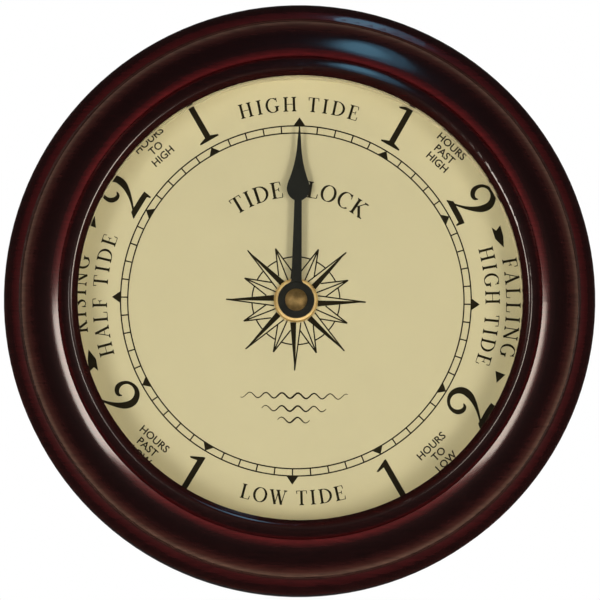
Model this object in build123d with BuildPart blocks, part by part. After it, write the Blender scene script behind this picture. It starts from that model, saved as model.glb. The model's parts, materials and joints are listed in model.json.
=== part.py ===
from build123d import *
import os
from math import acos, cos, hypot, pi, radians, sin, tan

os.makedirs("parts", exist_ok=True)

# Round wall clock with one tide hand, in millimetres.
# The wall is the plane Y = 0 and the dial looks towards -Y.
# X runs to the right and Z up as the clock is seen on the wall.
# The origin is in the keyhole by which the clock hangs, at the back of its plate.
# A depth is how far something stands out from the wall, so a depth d lies at Y = -d.
# A place is given from the axis of the dial, the hand and the movement.
# The frame's own axis lies a little to the right of it, straight below the keyhole.

# Frame, turned from hardwood
frame_radius = 82.5
frame_depth = 36.2
opening_radius = 61.8
moulding_height = 12.7
back_round = 1.2
back_bore_radius = 71.5

# How far the dial and movement sit to the left of the frame's axis, in the play of the rebate
dial_offset = 1.0

# Outline of the moulding: share of the way from opening to rim, share of its height
lip_edge_share = (0.0, 0.8661)
ridge_inner_share = (0.0396, 0.9496)
ridge_top_share = (0.1029, 1.0)
ridge_outer_share = (0.1196, 0.9972)
bead_middle_share = (0.1889, 0.9561)
bead_end_share = (0.2488, 0.8857)
valley_share = (0.256, 0.8717)
roll_start_share = (0.2643, 0.9055)
roll_middle_share = (0.5396, 0.744)
roll_end_share = (0.7536, 0.4176)
groove_inner_share = (0.7705, 0.315)
groove_outer_share = (0.785, 0.315)
rim_start_share = (0.7923, 0.3748)
rim_middle_share = (0.9319, 0.2402)
rim_end_share = (1.0, 0.0)

# Glass, spacer ring and dial, stacked in the rebate behind the lip
rebate_radius = 66.4
edge_gap = 0.3
lip_thickness = 4.5
glass_thickness = 2.0
glass_edge_bevel = 0.3
spacer_length = 9.5
spacer_bore_radius = 62.1
dial_radius = 65.0
dial_thickness = 0.6

# Clips that hold the dial in, and their screws
clip_count = 4
clip_first_angle = 45.0
clip_length = 9.4
clip_width = 5.0
clip_thickness = 0.8
clip_corner_radius = 1.6
clip_reach_in = 4.4
clip_screw_outset = 2.8
clip_screw_radius = 1.1
clip_screw_length = 9.0
clip_head_radius = 2.1
clip_head_height = 1.3
clip_head_round = 0.4
screw_slot_width = 0.6
screw_slot_depth = 0.5

# Keyhole hanger at the top of the back
hanger_width = 38.0
hanger_height = 13.0
hanger_thickness = 1.0
hanger_end_radius = 4.0
hanger_middle = 73.0
keyhole_radius = 3.5
keyhole_slot_radius = 1.8
keyhole_rise = 4.5
keyhole_drop = 1.8
pocket_margin = 0.9
pocket_depth = 7.0
hanger_screw_spread = 14.5
hanger_screw_radius = 1.2
hanger_screw_length = 9.0
countersink_angle = 45.0

# Movement case
case_size = 56.0
case_corner_radius = 2.0
case_depth = 12.9
case_wall = 1.2
front_wall = 0.9
cover_thickness = 1.0
rubber_thickness = 1.0
rubber_outer_radius = 9.0
rubber_hole_gap = 0.2

# Battery, size AA, and its bay
battery_radius = 7.1
battery_length = 50.5
battery_nub_radius = 2.7
battery_nub_length = 1.2
battery_edge_round = 0.7
battery_base_radius = 6.3
battery_base_step = 0.3
battery_gap = 0.35
bay_wall = 0.8
bay_notch_width = 14.0
bay_notch_depth = 4.0

# Battery contacts, in nickel-plated strip
contact_thickness = 0.4
contact_width = 8.5
contact_height = 7.0
contact_inset = 0.02
tail_width = 2.0
tail_thickness = 0.3
tail_clearance = 0.4
leaf_thickness = 0.3

# Threaded bushing, nut and washers on the front of the movement
bushing_radius = 3.9
bushing_length = 4.1
bushing_flange_radius = 5.0
bushing_chamfer = 0.3
nut_radius = 6.15
nut_height = 1.9
nut_bevel = 0.45
nut_knurl_count = 48
nut_knurl_radius = 0.16
nut_washer_radius = 6.0
nut_washer_thickness = 0.5
washer_hole_gap = 0.2

# Tide hand
hand_length = 48.3
hand_hub_radius = 5.1
hand_hub_height = 1.0
hand_hub_round = 0.3
hand_thickness = 0.6
hand_root_width = 3.05
hand_root_round = 1.5
hand_neck_width = 2.05
spade_width = 6.5
needle_width = 1.0
hand_tip_width = 0.36
neck_share = 0.578
spade_swell_share = 0.598
spade_wide_share = 0.642
spade_bend_share = 0.673
spade_shoulder_share = 0.705
spade_hollow_share = 0.79
needle_share = 0.925
swell_width_share = 0.72
bend_width_share = 0.93
shoulder_width_share = 0.76
hollow_width_share = 0.40
collet_flange_radius = 3.4
collet_flange_height = 0.5
collet_neck_radius = 2.9
collet_rise = 0.4
cap_radius = 3.1
cap_edge_height = 0.5
cap_height = 1.5
cap_stem_length = 1.8
tube_radius = 2.5
arbor_tip_gap = 0.4

# Wheels: pressure angle and tooth height as shares of the module
pressure_angle = 25.0
addendum_share = 0.8
dedendum_share = 1.0
tooth_thinning = 0.035
wheel_thickness = 0.8
running_gap = 0.05
friction_gap = 0.03
pivot_radius = 0.35
pivot_length = 0.45
pivot_hole_depth = 0.55
arbor_radius = 0.6
end_shake = 0.1
pinion_overhang = 0.1

# Wheels that carry the hand: the hand turns once for 12.42 turns of the cannon pinion
hour_teeth = 36
motion_pinion_teeth = 10
motion_teeth = 69
cannon_teeth = 20
setting_teeth = 20
cannon_module = 0.29
motion_bearing = 135.0
setting_bearing = 90.0

# Wheels driven by the motor: 30 turns of the rotor for one of the seconds wheel, then 60 to one
rotor_teeth = 10
intermediate_teeth = 60
intermediate_pinion_teeth = 12
seconds_teeth = 60
seconds_pinion_teeth = 10
third_teeth = 75
third_pinion_teeth = 10
centre_teeth = 80
motor_module = 0.2
third_module = 0.27
third_bearing = 18.0
intermediate_bearing = 100.0
rotor_bearing = 100.0

# Axial places inside the movement
front_shake = 0.4
motion_layer_gap = 1.0
plate_gap = 0.4
plate_thickness = 0.6
train_layer_gap = 0.7
cannon_shaft_radius = 1.5
cannon_arbor_radius = 1.6
centre_hub_radius = 2.6
centre_hub_overhang = 0.15
plate_post_radius = 0.9
plate_post_height = 1.6
plate_post_gap = 0.2
third_window_gap = 0.6

# Middle plate and the posts that carry it
plate_half_width = 22.5
plate_top = 17.5
plate_bottom = -9.5
plate_corner_radius = 2.0
post_radius = 1.4
stake_radius = 0.7
stake_gap = 0.05
stake_proud = 0.3
plate_post_place_shares = ((-0.91, -0.80), (0.91, -0.80), (0.62, 0.89), (-0.91, 0.86))

# Motor
magnet_radius = 2.9
magnet_length = 2.2
magnet_start_gap = 0.3
rotor_shaft_radius = 0.6
stator_hole_radius = 3.4
stator_thickness = 0.8
stator_clearance = 0.3
stator_bar_height = 8.4
stator_arm_width = 3.8
stator_left = -5.0
stator_right = 23.0
stator_top = 25.0
stator_corner_radius = 0.8
stator_notch_radius = 0.5
stator_notch_count = 2
stator_notch_angle = 45.0
stator_post_radius = 1.3
core_width = 2.4
core_thickness = 0.8
core_middle = 23.2
coil_left = 0.5
coil_right = 17.5
coil_radius = 2.9
bobbin_flange_radius = 3.15
bobbin_flange_thickness = 0.8
bobbin_wall = 0.35

# Circuit board
board_left = -26.3
board_right = -14.0
board_top = 18.0
board_thickness = 0.8
board_lift = 0.6
board_post_radius = 1.2
board_post_inset = 1.7
board_post_low = -6.0
board_post_high = 14.0
chip_radius = 3.0
chip_height = 1.2
chip_drop = 2.0
crystal_radius = 1.0
crystal_length = 6.0
crystal_rise = 9.0

# Setting knob on the back of the movement
knob_radius = 5.5
knob_thickness = 1.8
knob_gap = 0.5
knob_bevel = 0.3
knob_groove_count = 36
knob_groove_radius = 0.28
knob_seat_depth = 1.2
setting_shaft_radius = 1.2
setting_pivot_radius = 0.5

# Latches of the movement's lid
latch_length = 4.0
latch_width = 5.0
latch_thickness = 1.0
latch_barb = 0.45
latch_barb_length = 1.3
latch_gap = 0.1
latch_place_shares = ((-1, 0.84), (1, 0.19), (1, 0.84))

# Depths that follow from the stack
rim_depth = frame_depth - moulding_height
lip_depth = rim_depth + lip_edge_share[1] * moulding_height
shoulder_depth = lip_depth - lip_thickness
glass_back = shoulder_depth - glass_thickness
dial_front = glass_back - spacer_length
dial_back = dial_front - dial_thickness
case_front = dial_back - rubber_thickness
inner_front = case_front - front_wall
cover_front = case_front - case_depth
cover_back = cover_front - cover_thickness

# Wheel layers, each named by its front and back depth
hour_front = inner_front - front_shake
hour_back = hour_front - wheel_thickness
motion_front = hour_back - motion_layer_gap
motion_back = motion_front - wheel_thickness
centre_front = motion_back - motion_layer_gap
centre_back = centre_front - wheel_thickness
plate_front = centre_back - plate_gap
plate_back = plate_front - plate_thickness
third_front = plate_back - plate_gap
third_back = third_front - wheel_thickness
seconds_front = third_back - train_layer_gap
seconds_back = seconds_front - wheel_thickness
intermediate_front = seconds_back - train_layer_gap
intermediate_back = intermediate_front - wheel_thickness
stator_front = third_back - stator_clearance
stator_back = stator_front - stator_thickness

# Places inside the case, seen from the front
case_half = case_size / 2
case_inner = case_half - case_wall
bay_height = 2 * (battery_radius + battery_gap)
bay_top = bay_height - case_inner
gear_floor = bay_top + bay_wall
battery_middle = bay_top - bay_height / 2
battery_depth = inner_front - battery_gap - battery_radius

# Both axes lie this far above the origin, and the frame's axis here
axis_height = keyhole_drop - hanger_middle
frame_place = (dial_offset, 0)


def point_at(depth, place=(0, 0)):
    """Point of the model at a depth and a place."""
    return (place[0] - dial_offset, -depth, place[1] + axis_height)


def at_depth(depth, place=(0, 0)):
    """Drawing plane at a depth, seen from the front, centred on a place."""
    return Plane(origin=point_at(depth, place), x_dir=(1, 0, 0), z_dir=(0, -1, 0))


def across_at(depth, place):
    """Drawing plane that faces +X, for pieces that lie across the clock."""
    return Plane(origin=point_at(depth, place), x_dir=(0, 0, 1), z_dir=(1, 0, 0))


def section_at(place=(0, 0)):
    """Drawing plane through an axis along Y: radius to the right, depth upwards."""
    return Plane(origin=point_at(0, place), x_dir=(1, 0, 0), z_dir=(0, 0, -1))


def axis_at(place=(0, 0)):
    """The axis along Y through a place."""
    return Axis(point_at(0, place), (0, 1, 0))


def step_from(place, distance, bearing):
    """The place at a distance and bearing, counted from +X towards +Z."""
    return (
        place[0] + distance * cos(radians(bearing)),
        place[1] + distance * sin(radians(bearing)),
    )


def turned(steps, place=(0, 0)):
    """Round solid about one axis, from steps of low depth, high depth and radius."""
    with BuildPart() as body:
        for low, high, radius in steps:
            with BuildSketch(at_depth(low, place)):
                Circle(radius)
            extrude(amount=high - low)
    return body.part


def tube(low, high, bore, radius, place=(0, 0)):
    """Plain tube about one axis."""
    with BuildPart() as body:
        with BuildSketch(at_depth(low, place)):
            Circle(radius)
            Circle(bore, mode=Mode.SUBTRACT)
        extrude(amount=high - low)
    return body.part


def block(low, high, x_from, x_to, z_from, z_to):
    """Box between two depths, seen from the front."""
    middle = ((x_from + x_to) / 2, (z_from + z_to) / 2)
    with BuildPart() as body:
        with BuildSketch(at_depth(low, middle)):
            Rectangle(x_to - x_from, z_to - z_from)
        extrude(amount=high - low)
    return body.part


def on_circle(radius, angle):
    """Point of a sketch at a radius and an angle in radians."""
    return (radius * cos(angle), radius * sin(angle))


def gear_face(module, teeth, turn):
    """Face of a spur gear with one tooth centred at the angle turn, in radians."""
    pitch = module * teeth / 2
    base = pitch * cos(radians(pressure_angle))
    tip = pitch + addendum_share * module
    root = pitch - dedendum_share * module
    start = max(root, base)
    waist = (start + tip) / 2
    at_pitch = pi / (2 * teeth) - tooth_thinning / (2 * pitch)

    def half_angle(radius):
        """Half the tooth's angle at a radius, on the involute."""
        slope = acos(min(1, base / radius))
        flank = radians(pressure_angle)
        return at_pitch + (tan(flank) - flank) - (tan(slope) - slope)

    with BuildSketch() as face:
        with BuildLine():
            for tooth in range(teeth):
                middle = turn + 2 * pi * tooth / teeth
                low, mid, high = half_angle(start), half_angle(waist), half_angle(tip)
                rise = [
                    on_circle(start, middle - low),
                    on_circle(waist, middle - mid),
                    on_circle(tip, middle - high),
                ]
                fall = [
                    on_circle(tip, middle + high),
                    on_circle(waist, middle + mid),
                    on_circle(start, middle + low),
                ]
                if base > root:
                    Line(on_circle(root, middle - low), rise[0])
                ThreePointArc(*rise)
                Line(rise[2], fall[0])
                ThreePointArc(*fall)
                if base > root:
                    Line(fall[2], on_circle(root, middle + low))
                Line(
                    on_circle(root, middle + low),
                    on_circle(root, middle + 2 * pi / teeth - low),
                )
        make_face()
    return face.sketch


def toothed(module, teeth, turn, low, high, place=(0, 0)):
    """Spur gear or pinion between two depths."""
    with BuildPart() as body:
        with BuildSketch(at_depth(low, place)):
            add(gear_face(module, teeth, turn))
        extrude(amount=high - low)
    return body.part


def in_mesh(turn, teeth, bearing, mate_teeth):
    """Turn of a mate whose space meets the tooth of a gear, on a bearing in degrees."""
    line = radians(bearing)
    return line + pi - pi / mate_teeth + (line - turn) * teeth / mate_teeth


def reach(module, teeth, mate_teeth):
    """Distance between the axes of two gears in mesh."""
    return module * (teeth + mate_teeth) / 2


# Places of the arbors
centre_place = (0, 0)
motion_reach = reach(cannon_module, cannon_teeth, motion_teeth)
hour_module = 2 * motion_reach / (hour_teeth + motion_pinion_teeth)
motion_place = step_from(centre_place, motion_reach, motion_bearing)
setting_reach = reach(cannon_module, setting_teeth, motion_teeth)
setting_place = step_from(motion_place, setting_reach, setting_bearing)
third_reach = reach(third_module, seconds_pinion_teeth, third_teeth)
centre_module = 2 * third_reach / (third_pinion_teeth + centre_teeth)
third_place = step_from(centre_place, third_reach, third_bearing)
intermediate_reach = reach(motor_module, intermediate_pinion_teeth, seconds_teeth)
intermediate_place = step_from(centre_place, intermediate_reach, intermediate_bearing)
rotor_reach = reach(motor_module, rotor_teeth, intermediate_teeth)
rotor_place = step_from(intermediate_place, rotor_reach, rotor_bearing)

# How far each wheel is turned so that its teeth are in mesh
hour_turn = 0
motion_pinion_turn = in_mesh(hour_turn, hour_teeth, motion_bearing, motion_pinion_teeth)
motion_turn = 0
cannon_turn = in_mesh(motion_turn, motion_teeth, motion_bearing + 180, cannon_teeth)
setting_turn = in_mesh(motion_turn, motion_teeth, setting_bearing, setting_teeth)
seconds_turn = 0
seconds_pinion_turn = 0
intermediate_pinion_turn = in_mesh(
    seconds_turn, seconds_teeth, intermediate_bearing, intermediate_pinion_teeth
)
intermediate_turn = 0
rotor_turn = in_mesh(intermediate_turn, intermediate_teeth, rotor_bearing, rotor_teeth)
third_turn = in_mesh(seconds_pinion_turn, seconds_pinion_teeth, third_bearing, third_teeth)
third_pinion_turn = 0
centre_turn = in_mesh(
    third_pinion_turn, third_pinion_teeth, third_bearing + 180, centre_teeth
)

# Places of the latches, as the side of the case and the height
latch_places = [(side, up * case_inner) for side, up in latch_place_shares]

# Places of the posts inside the case
plate_posts = [
    (
        across * plate_half_width,
        up * (plate_top if up > 0 else -plate_bottom),
    )
    for across, up in plate_post_place_shares
]
board_posts = [
    (board_left + board_post_inset, board_post_low),
    (board_left + board_post_inset, board_post_high),
]
stator_arm_middles = (
    stator_left + stator_arm_width / 2,
    stator_right - stator_arm_width / 2,
)
stator_posts = [(x, core_middle) for x in stator_arm_middles]
board_back = cover_front + board_lift
board_front = board_back + board_thickness


def frame_point(share):
    """Radius and depth of a point of the moulding's outline."""
    return (
        opening_radius + share[0] * (frame_radius - opening_radius),
        rim_depth + share[1] * moulding_height,
    )


# Screw places of the retaining clips, on the ledge behind the dial
clip_screw_circle = rebate_radius + clip_screw_outset
clip_angles = [clip_first_angle + 360 / clip_count * n for n in range(clip_count)]
clip_screw_places = [step_from(frame_place, clip_screw_circle, a) for a in clip_angles]
clip_screw_tip = dial_back + clip_screw_length

# Hanger places: the round hole sits low, the slot rises from it
hanger_screw_head_radius = hanger_screw_radius + hanger_thickness
hanger_place = (dial_offset, hanger_middle)
keyhole_place = (dial_offset, hanger_middle - keyhole_drop)
keyhole_top = (dial_offset, keyhole_place[1] + keyhole_rise)
keyhole_halfway = (dial_offset, keyhole_place[1] + keyhole_rise / 2)
hanger_screw_places = [
    (dial_offset + side * hanger_screw_spread, hanger_middle) for side in (-1, 1)
]

# Wooden frame: turned ring, rebated for the glass and dial, bored out at the back
with BuildPart() as wood_frame:
    with BuildSketch(section_at(frame_place)):
        with BuildLine():
            Polyline(
                (back_bore_radius, 0),
                (back_bore_radius, dial_back),
                (rebate_radius, dial_back),
                (rebate_radius, shoulder_depth),
                (opening_radius, shoulder_depth),
                frame_point(lip_edge_share),
                frame_point(ridge_inner_share),
            )
            ThreePointArc(
                frame_point(ridge_inner_share),
                frame_point(ridge_top_share),
                frame_point(ridge_outer_share),
            )
            ThreePointArc(
                frame_point(ridge_outer_share),
                frame_point(bead_middle_share),
                frame_point(bead_end_share),
            )
            Polyline(
                frame_point(bead_end_share),
                frame_point(valley_share),
                frame_point(roll_start_share),
            )
            ThreePointArc(
                frame_point(roll_start_share),
                frame_point(roll_middle_share),
                frame_point(roll_end_share),
            )
            Polyline(
                frame_point(roll_end_share),
                frame_point(groove_inner_share),
                frame_point(groove_outer_share),
                frame_point(rim_start_share),
            )
            ThreePointArc(
                frame_point(rim_start_share),
                frame_point(rim_middle_share),
                frame_point(rim_end_share),
            )
            Line(frame_point(rim_end_share), (frame_radius, back_round))
            RadiusArc(
                (frame_radius, back_round), (frame_radius - back_round, 0), back_round
            )
            Line((frame_radius - back_round, 0), (back_bore_radius, 0))
        make_face()
    revolve(axis=axis_at(frame_place))
    with BuildSketch(at_depth(0, hanger_place)):
        RectangleRounded(hanger_width, hanger_height, hanger_end_radius)
    extrude(amount=hanger_thickness, mode=Mode.SUBTRACT)
    with BuildSketch(at_depth(hanger_thickness)):
        for place in (keyhole_place, keyhole_top):
            with Locations(place):
                Circle(keyhole_radius + pocket_margin)
        with Locations(keyhole_halfway):
            Rectangle(2 * (keyhole_radius + pocket_margin), keyhole_rise)
    extrude(amount=pocket_depth, mode=Mode.SUBTRACT)
    with BuildSketch(at_depth(hanger_thickness)):
        with Locations(*hanger_screw_places):
            Circle(hanger_screw_radius)
    extrude(amount=hanger_screw_length - hanger_thickness, mode=Mode.SUBTRACT)
    with BuildSketch(at_depth(dial_back)):
        with Locations(*clip_screw_places):
            Circle(clip_screw_radius)
    extrude(amount=clip_screw_length, mode=Mode.SUBTRACT)
wood_frame.part.label = "wood_frame"
export_step(wood_frame.part, "parts/wood_frame.step")

# Flat glass, resting against the back of the lip
with BuildPart() as glass_lens:
    add(turned([(glass_back, shoulder_depth, rebate_radius - edge_gap)], frame_place))
    chamfer(glass_lens.edges().filter_by(GeomType.CIRCLE), glass_edge_bevel)
glass_lens.part.label = "glass_lens"
export_step(glass_lens.part, "parts/glass_lens.step")

# Cream ring that keeps the glass off the dial
with BuildPart() as spacer_ring:
    add(
        tube(
            dial_front,
            glass_back,
            spacer_bore_radius,
            rebate_radius - edge_gap,
            frame_place,
        )
    )
spacer_ring.part.label = "spacer_ring"
export_step(spacer_ring.part, "parts/spacer_ring.step")

# Thin metal dial
with BuildPart() as dial_plate:
    add(tube(dial_back, dial_front, bushing_radius + washer_hole_gap, dial_radius))
dial_plate.part.label = "dial_plate"
export_step(dial_plate.part, "parts/dial_plate.step")

# Clips screwed to the ledge, each reaching over the back of the dial
clip_middle_circle = rebate_radius - clip_reach_in + clip_length / 2
clip_back = dial_back - clip_thickness
with BuildPart() as retainer_clips:
    with BuildSketch(at_depth(clip_back, frame_place)):
        with PolarLocations(clip_middle_circle, clip_count, clip_first_angle):
            RectangleRounded(clip_length, clip_width, clip_corner_radius)
    extrude(amount=clip_thickness)
    with BuildSketch(at_depth(clip_back)):
        with Locations(*clip_screw_places):
            Circle(clip_screw_radius + running_gap)
    extrude(amount=clip_thickness, mode=Mode.SUBTRACT)
retainer_clips.part.label = "retainer_clips"
export_step(retainer_clips.part, "parts/retainer_clips.step")

# Slotted pan-head screws of the clips
clip_head_back = clip_back - clip_head_height
with BuildPart() as clip_screws:
    for place in clip_screw_places:
        add(
            turned(
                [
                    (clip_head_back, clip_back, clip_head_radius),
                    (clip_back, clip_screw_tip, clip_screw_radius),
                ],
                place,
            )
        )
    fillet(clip_screws.edges().filter_by(GeomType.CIRCLE).group_by(Axis.Y)[-1], clip_head_round)
    with BuildSketch(at_depth(clip_head_back)):
        with Locations(*clip_screw_places):
            Rectangle(2 * clip_head_radius + screw_slot_width, screw_slot_width)
    extrude(amount=screw_slot_depth, mode=Mode.SUBTRACT)
clip_screws.part.label = "clip_screws"
export_step(clip_screws.part, "parts/clip_screws.step")

# Brass keyhole plate, let in flush with the back of the frame
with BuildPart() as hanger_plate:
    with BuildSketch(at_depth(0, hanger_place)):
        RectangleRounded(hanger_width, hanger_height, hanger_end_radius)
    extrude(amount=hanger_thickness)
    with BuildSketch(at_depth(0)):
        with Locations(keyhole_place):
            Circle(keyhole_radius)
        with Locations(keyhole_top):
            Circle(keyhole_slot_radius)
        with Locations(keyhole_halfway):
            Rectangle(2 * keyhole_slot_radius, keyhole_rise)
        with Locations(*hanger_screw_places):
            Circle(hanger_screw_radius)
    extrude(amount=hanger_thickness, mode=Mode.SUBTRACT)
    for place in hanger_screw_places:
        with BuildSketch(at_depth(0, place)):
            Circle(hanger_screw_head_radius)
        extrude(amount=hanger_thickness, taper=countersink_angle, mode=Mode.SUBTRACT)
hanger_plate.part.label = "hanger_plate"
export_step(hanger_plate.part, "parts/hanger_plate.step")

# Countersunk screws of the hanger, slotted
with BuildPart() as hanger_screws:
    for place in hanger_screw_places:
        with BuildSketch(at_depth(0, place)):
            Circle(hanger_screw_head_radius)
        extrude(amount=hanger_thickness, taper=countersink_angle)
        with BuildSketch(at_depth(0, place)):
            Circle(hanger_screw_radius)
        extrude(amount=hanger_screw_length)
    with BuildSketch(at_depth(0)):
        with Locations(*hanger_screw_places):
            Rectangle(2 * hanger_screw_head_radius + screw_slot_width, screw_slot_width)
    extrude(amount=screw_slot_depth, mode=Mode.SUBTRACT)
hanger_screws.part.label = "hanger_screws"
export_step(hanger_screws.part, "parts/hanger_screws.step")

# Rubber washer between the dial and the movement
with BuildPart() as rubber_washer:
    add(tube(case_front, dial_back, bushing_radius + rubber_hole_gap, rubber_outer_radius))
rubber_washer.part.label = "rubber_washer"
export_step(rubber_washer.part, "parts/rubber_washer.step")

# Brass bushing moulded into the case, threaded outside, with the hour tube running in it
bushing_front = case_front + bushing_length
with BuildPart() as threaded_bushing:
    add(
        turned(
            [
                (inner_front, case_front, bushing_flange_radius),
                (case_front, bushing_front, bushing_radius),
            ]
        )
    )
    chamfer(
        threaded_bushing.edges().filter_by(GeomType.CIRCLE).group_by(Axis.Y)[0],
        bushing_chamfer,
    )
    with BuildSketch(at_depth(inner_front)):
        Circle(tube_radius + running_gap)
    extrude(amount=bushing_front - inner_front, mode=Mode.SUBTRACT)
threaded_bushing.part.label = "threaded_bushing"
export_step(threaded_bushing.part, "parts/threaded_bushing.step")

# Brass washer on the dial
washer_front = dial_front + nut_washer_thickness
with BuildPart() as nut_washer:
    add(tube(dial_front, washer_front, bushing_radius + washer_hole_gap, nut_washer_radius))
nut_washer.part.label = "nut_washer"
export_step(nut_washer.part, "parts/nut_washer.step")

# Round nut with a fine knurl round its edge
nut_front = washer_front + nut_height
with BuildPart() as mounting_nut:
    with BuildSketch(at_depth(washer_front)):
        Circle(nut_radius)
        with PolarLocations(nut_radius, nut_knurl_count):
            Circle(nut_knurl_radius, mode=Mode.SUBTRACT)
    extrude(amount=nut_height)
    with BuildSketch(section_at()):
        with BuildLine():
            Polyline(
                (nut_radius - nut_bevel, nut_front),
                (nut_radius + nut_bevel, nut_front),
                (nut_radius + nut_bevel, nut_front - 2 * nut_bevel),
                close=True,
            )
        make_face()
    revolve(axis=axis_at(), mode=Mode.SUBTRACT)
    with BuildSketch(at_depth(washer_front)):
        Circle(bushing_radius)
    extrude(amount=nut_height, mode=Mode.SUBTRACT)
mounting_nut.part.label = "mounting_nut"
export_step(mounting_nut.part, "parts/mounting_nut.step")

# Depths of the hand and its brass parts
hand_back = bushing_front + collet_rise + collet_flange_height
hub_front = hand_back + hand_hub_height

# Tide hand: a spade that flares into its round hub, pointing up at high tide
with BuildPart() as tide_hand:
    with BuildSketch(at_depth(hand_back)):
        Circle(hand_hub_radius)
    extrude(amount=hand_hub_height)
    fillet(
        tide_hand.edges().filter_by(GeomType.CIRCLE).group_by(Axis.Y)[0], hand_hub_round
    )
    half_neck = hand_neck_width / 2
    half_spade = spade_width / 2
    half_needle = needle_width / 2
    with BuildSketch(at_depth(hand_back)) as hand_outline:
        with BuildLine():
            Polyline(
                (0, 0),
                (hand_root_width / 2, 0),
                (half_neck, neck_share * hand_length),
            )
            ThreePointArc(
                (half_neck, neck_share * hand_length),
                (half_spade * swell_width_share, spade_swell_share * hand_length),
                (half_spade, spade_wide_share * hand_length),
            )
            ThreePointArc(
                (half_spade, spade_wide_share * hand_length),
                (half_spade * bend_width_share, spade_bend_share * hand_length),
                (half_spade * shoulder_width_share, spade_shoulder_share * hand_length),
            )
            ThreePointArc(
                (half_spade * shoulder_width_share, spade_shoulder_share * hand_length),
                (half_spade * hollow_width_share, spade_hollow_share * hand_length),
                (half_needle, needle_share * hand_length),
            )
            Polyline(
                (half_needle, needle_share * hand_length),
                (hand_tip_width / 2, hand_length),
                (0, hand_length),
                (0, 0),
            )
        make_face()
        mirror(about=Plane.YZ)
        Circle(hand_hub_radius)
        fillet(
            hand_outline.vertices().filter_by_position(
                Axis.Y, hand_hub_radius / 2, 2 * hand_hub_radius
            ),
            hand_root_round,
        )
    extrude(amount=hand_thickness)
    with BuildSketch(at_depth(hand_back)):
        Circle(collet_neck_radius)
    extrude(amount=hand_hub_height, mode=Mode.SUBTRACT)
tide_hand.part.label = "tide_hand"
export_step(tide_hand.part, "parts/tide_hand.step")

# Brass collet pressed into the hand, gripping the hour tube
with BuildPart() as hand_collet:
    add(
        turned(
            [
                (hand_back - collet_flange_height, hand_back, collet_flange_radius),
                (hand_back, hub_front, collet_neck_radius),
            ]
        )
    )
    with BuildSketch(at_depth(hand_back - collet_flange_height)):
        Circle(tube_radius)
    extrude(amount=collet_flange_height + hand_hub_height, mode=Mode.SUBTRACT)
hand_collet.part.label = "hand_collet"
export_step(hand_collet.part, "parts/hand_collet.step")

# Domed brass cap, its stem pressed into the end of the hour tube
cap_edge_front = hub_front + cap_edge_height
with BuildPart() as hand_cap:
    with BuildSketch(section_at()):
        with BuildLine():
            Polyline(
                (0, hub_front + cap_height),
                (0, hub_front - cap_stem_length),
                (cannon_arbor_radius + running_gap, hub_front - cap_stem_length),
                (cannon_arbor_radius + running_gap, hub_front),
                (cap_radius, hub_front),
                (cap_radius, cap_edge_front),
            )
            dome_drop = cap_height - cap_edge_height
            dome_radius = (cap_radius**2 + dome_drop**2) / (2 * dome_drop)
            RadiusArc((cap_radius, cap_edge_front), (0, hub_front + cap_height), -dome_radius)
        make_face()
    revolve(axis=axis_at())
hand_cap.part.label = "hand_cap"
export_step(hand_cap.part, "parts/hand_cap.step")

# Front case of the movement, with the battery bay below and posts for what it carries
with BuildPart() as front_case:
    with BuildSketch(at_depth(cover_front)):
        RectangleRounded(case_size, case_size, case_corner_radius)
    extrude(amount=case_depth)
    with BuildSketch(at_depth(cover_back)):
        RectangleRounded(case_size, case_size, case_corner_radius)
    extrude(amount=cover_thickness)
    add(
        block(cover_back, cover_front, -case_half, case_half, bay_top, case_half),
        mode=Mode.SUBTRACT,
    )
    add(
        block(cover_back, inner_front, -case_inner, case_inner, -case_inner, bay_top),
        mode=Mode.SUBTRACT,
    )
    add(
        block(cover_front, inner_front, -case_inner, case_inner, gear_floor, case_inner),
        mode=Mode.SUBTRACT,
    )
    # finger notch in the outer wall of the bay
    add(
        block(
            cover_back,
            cover_back + bay_notch_depth,
            -bay_notch_width / 2,
            bay_notch_width / 2,
            -case_half,
            -case_inner,
        ),
        mode=Mode.SUBTRACT,
    )
    # slots by which the two contacts leave the bay
    for side in (-1, 1):
        edges = sorted((side * case_inner, side * (case_inner - contact_thickness)))
        add(
            block(
                cover_front,
                cover_front + tail_clearance + tail_width,
                edges[0],
                edges[1],
                bay_top,
                gear_floor,
            ),
            mode=Mode.SUBTRACT,
        )
    # posts for the middle plate, with the stakes that pass through it
    for place in plate_posts:
        add(
            turned(
                [
                    (plate_front, inner_front, post_radius),
                    (plate_back - stake_proud, plate_front, stake_radius),
                ],
                place,
            )
        )
    for place in board_posts:
        add(turned([(board_front, inner_front, board_post_radius)], place))
    for place in stator_posts:
        add(turned([(stator_front, inner_front, stator_post_radius)], place))
    # hole of the bushing, and blind holes for the front pivots
    with BuildSketch(at_depth(inner_front)):
        Circle(bushing_flange_radius)
    extrude(amount=front_wall, mode=Mode.SUBTRACT)
    with BuildSketch(at_depth(inner_front)):
        with Locations(motion_place, third_place):
            Circle(pivot_radius + running_gap)
        with Locations(setting_place):
            Circle(setting_pivot_radius + running_gap)
    extrude(amount=pivot_hole_depth, mode=Mode.SUBTRACT)
    # windows for the latches of the lid
    barb_low = cover_front + latch_length - latch_barb_length
    for side, height in latch_places:
        wall = sorted((side * case_inner, side * case_half))
        add(
            block(
                barb_low - latch_gap,
                cover_front + latch_length + latch_gap,
                wall[0],
                wall[1],
                height - latch_width / 2 - latch_gap,
                height + latch_width / 2 + latch_gap,
            ),
            mode=Mode.SUBTRACT,
        )
front_case.part.label = "front_case"
export_step(front_case.part, "parts/front_case.step")

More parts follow.
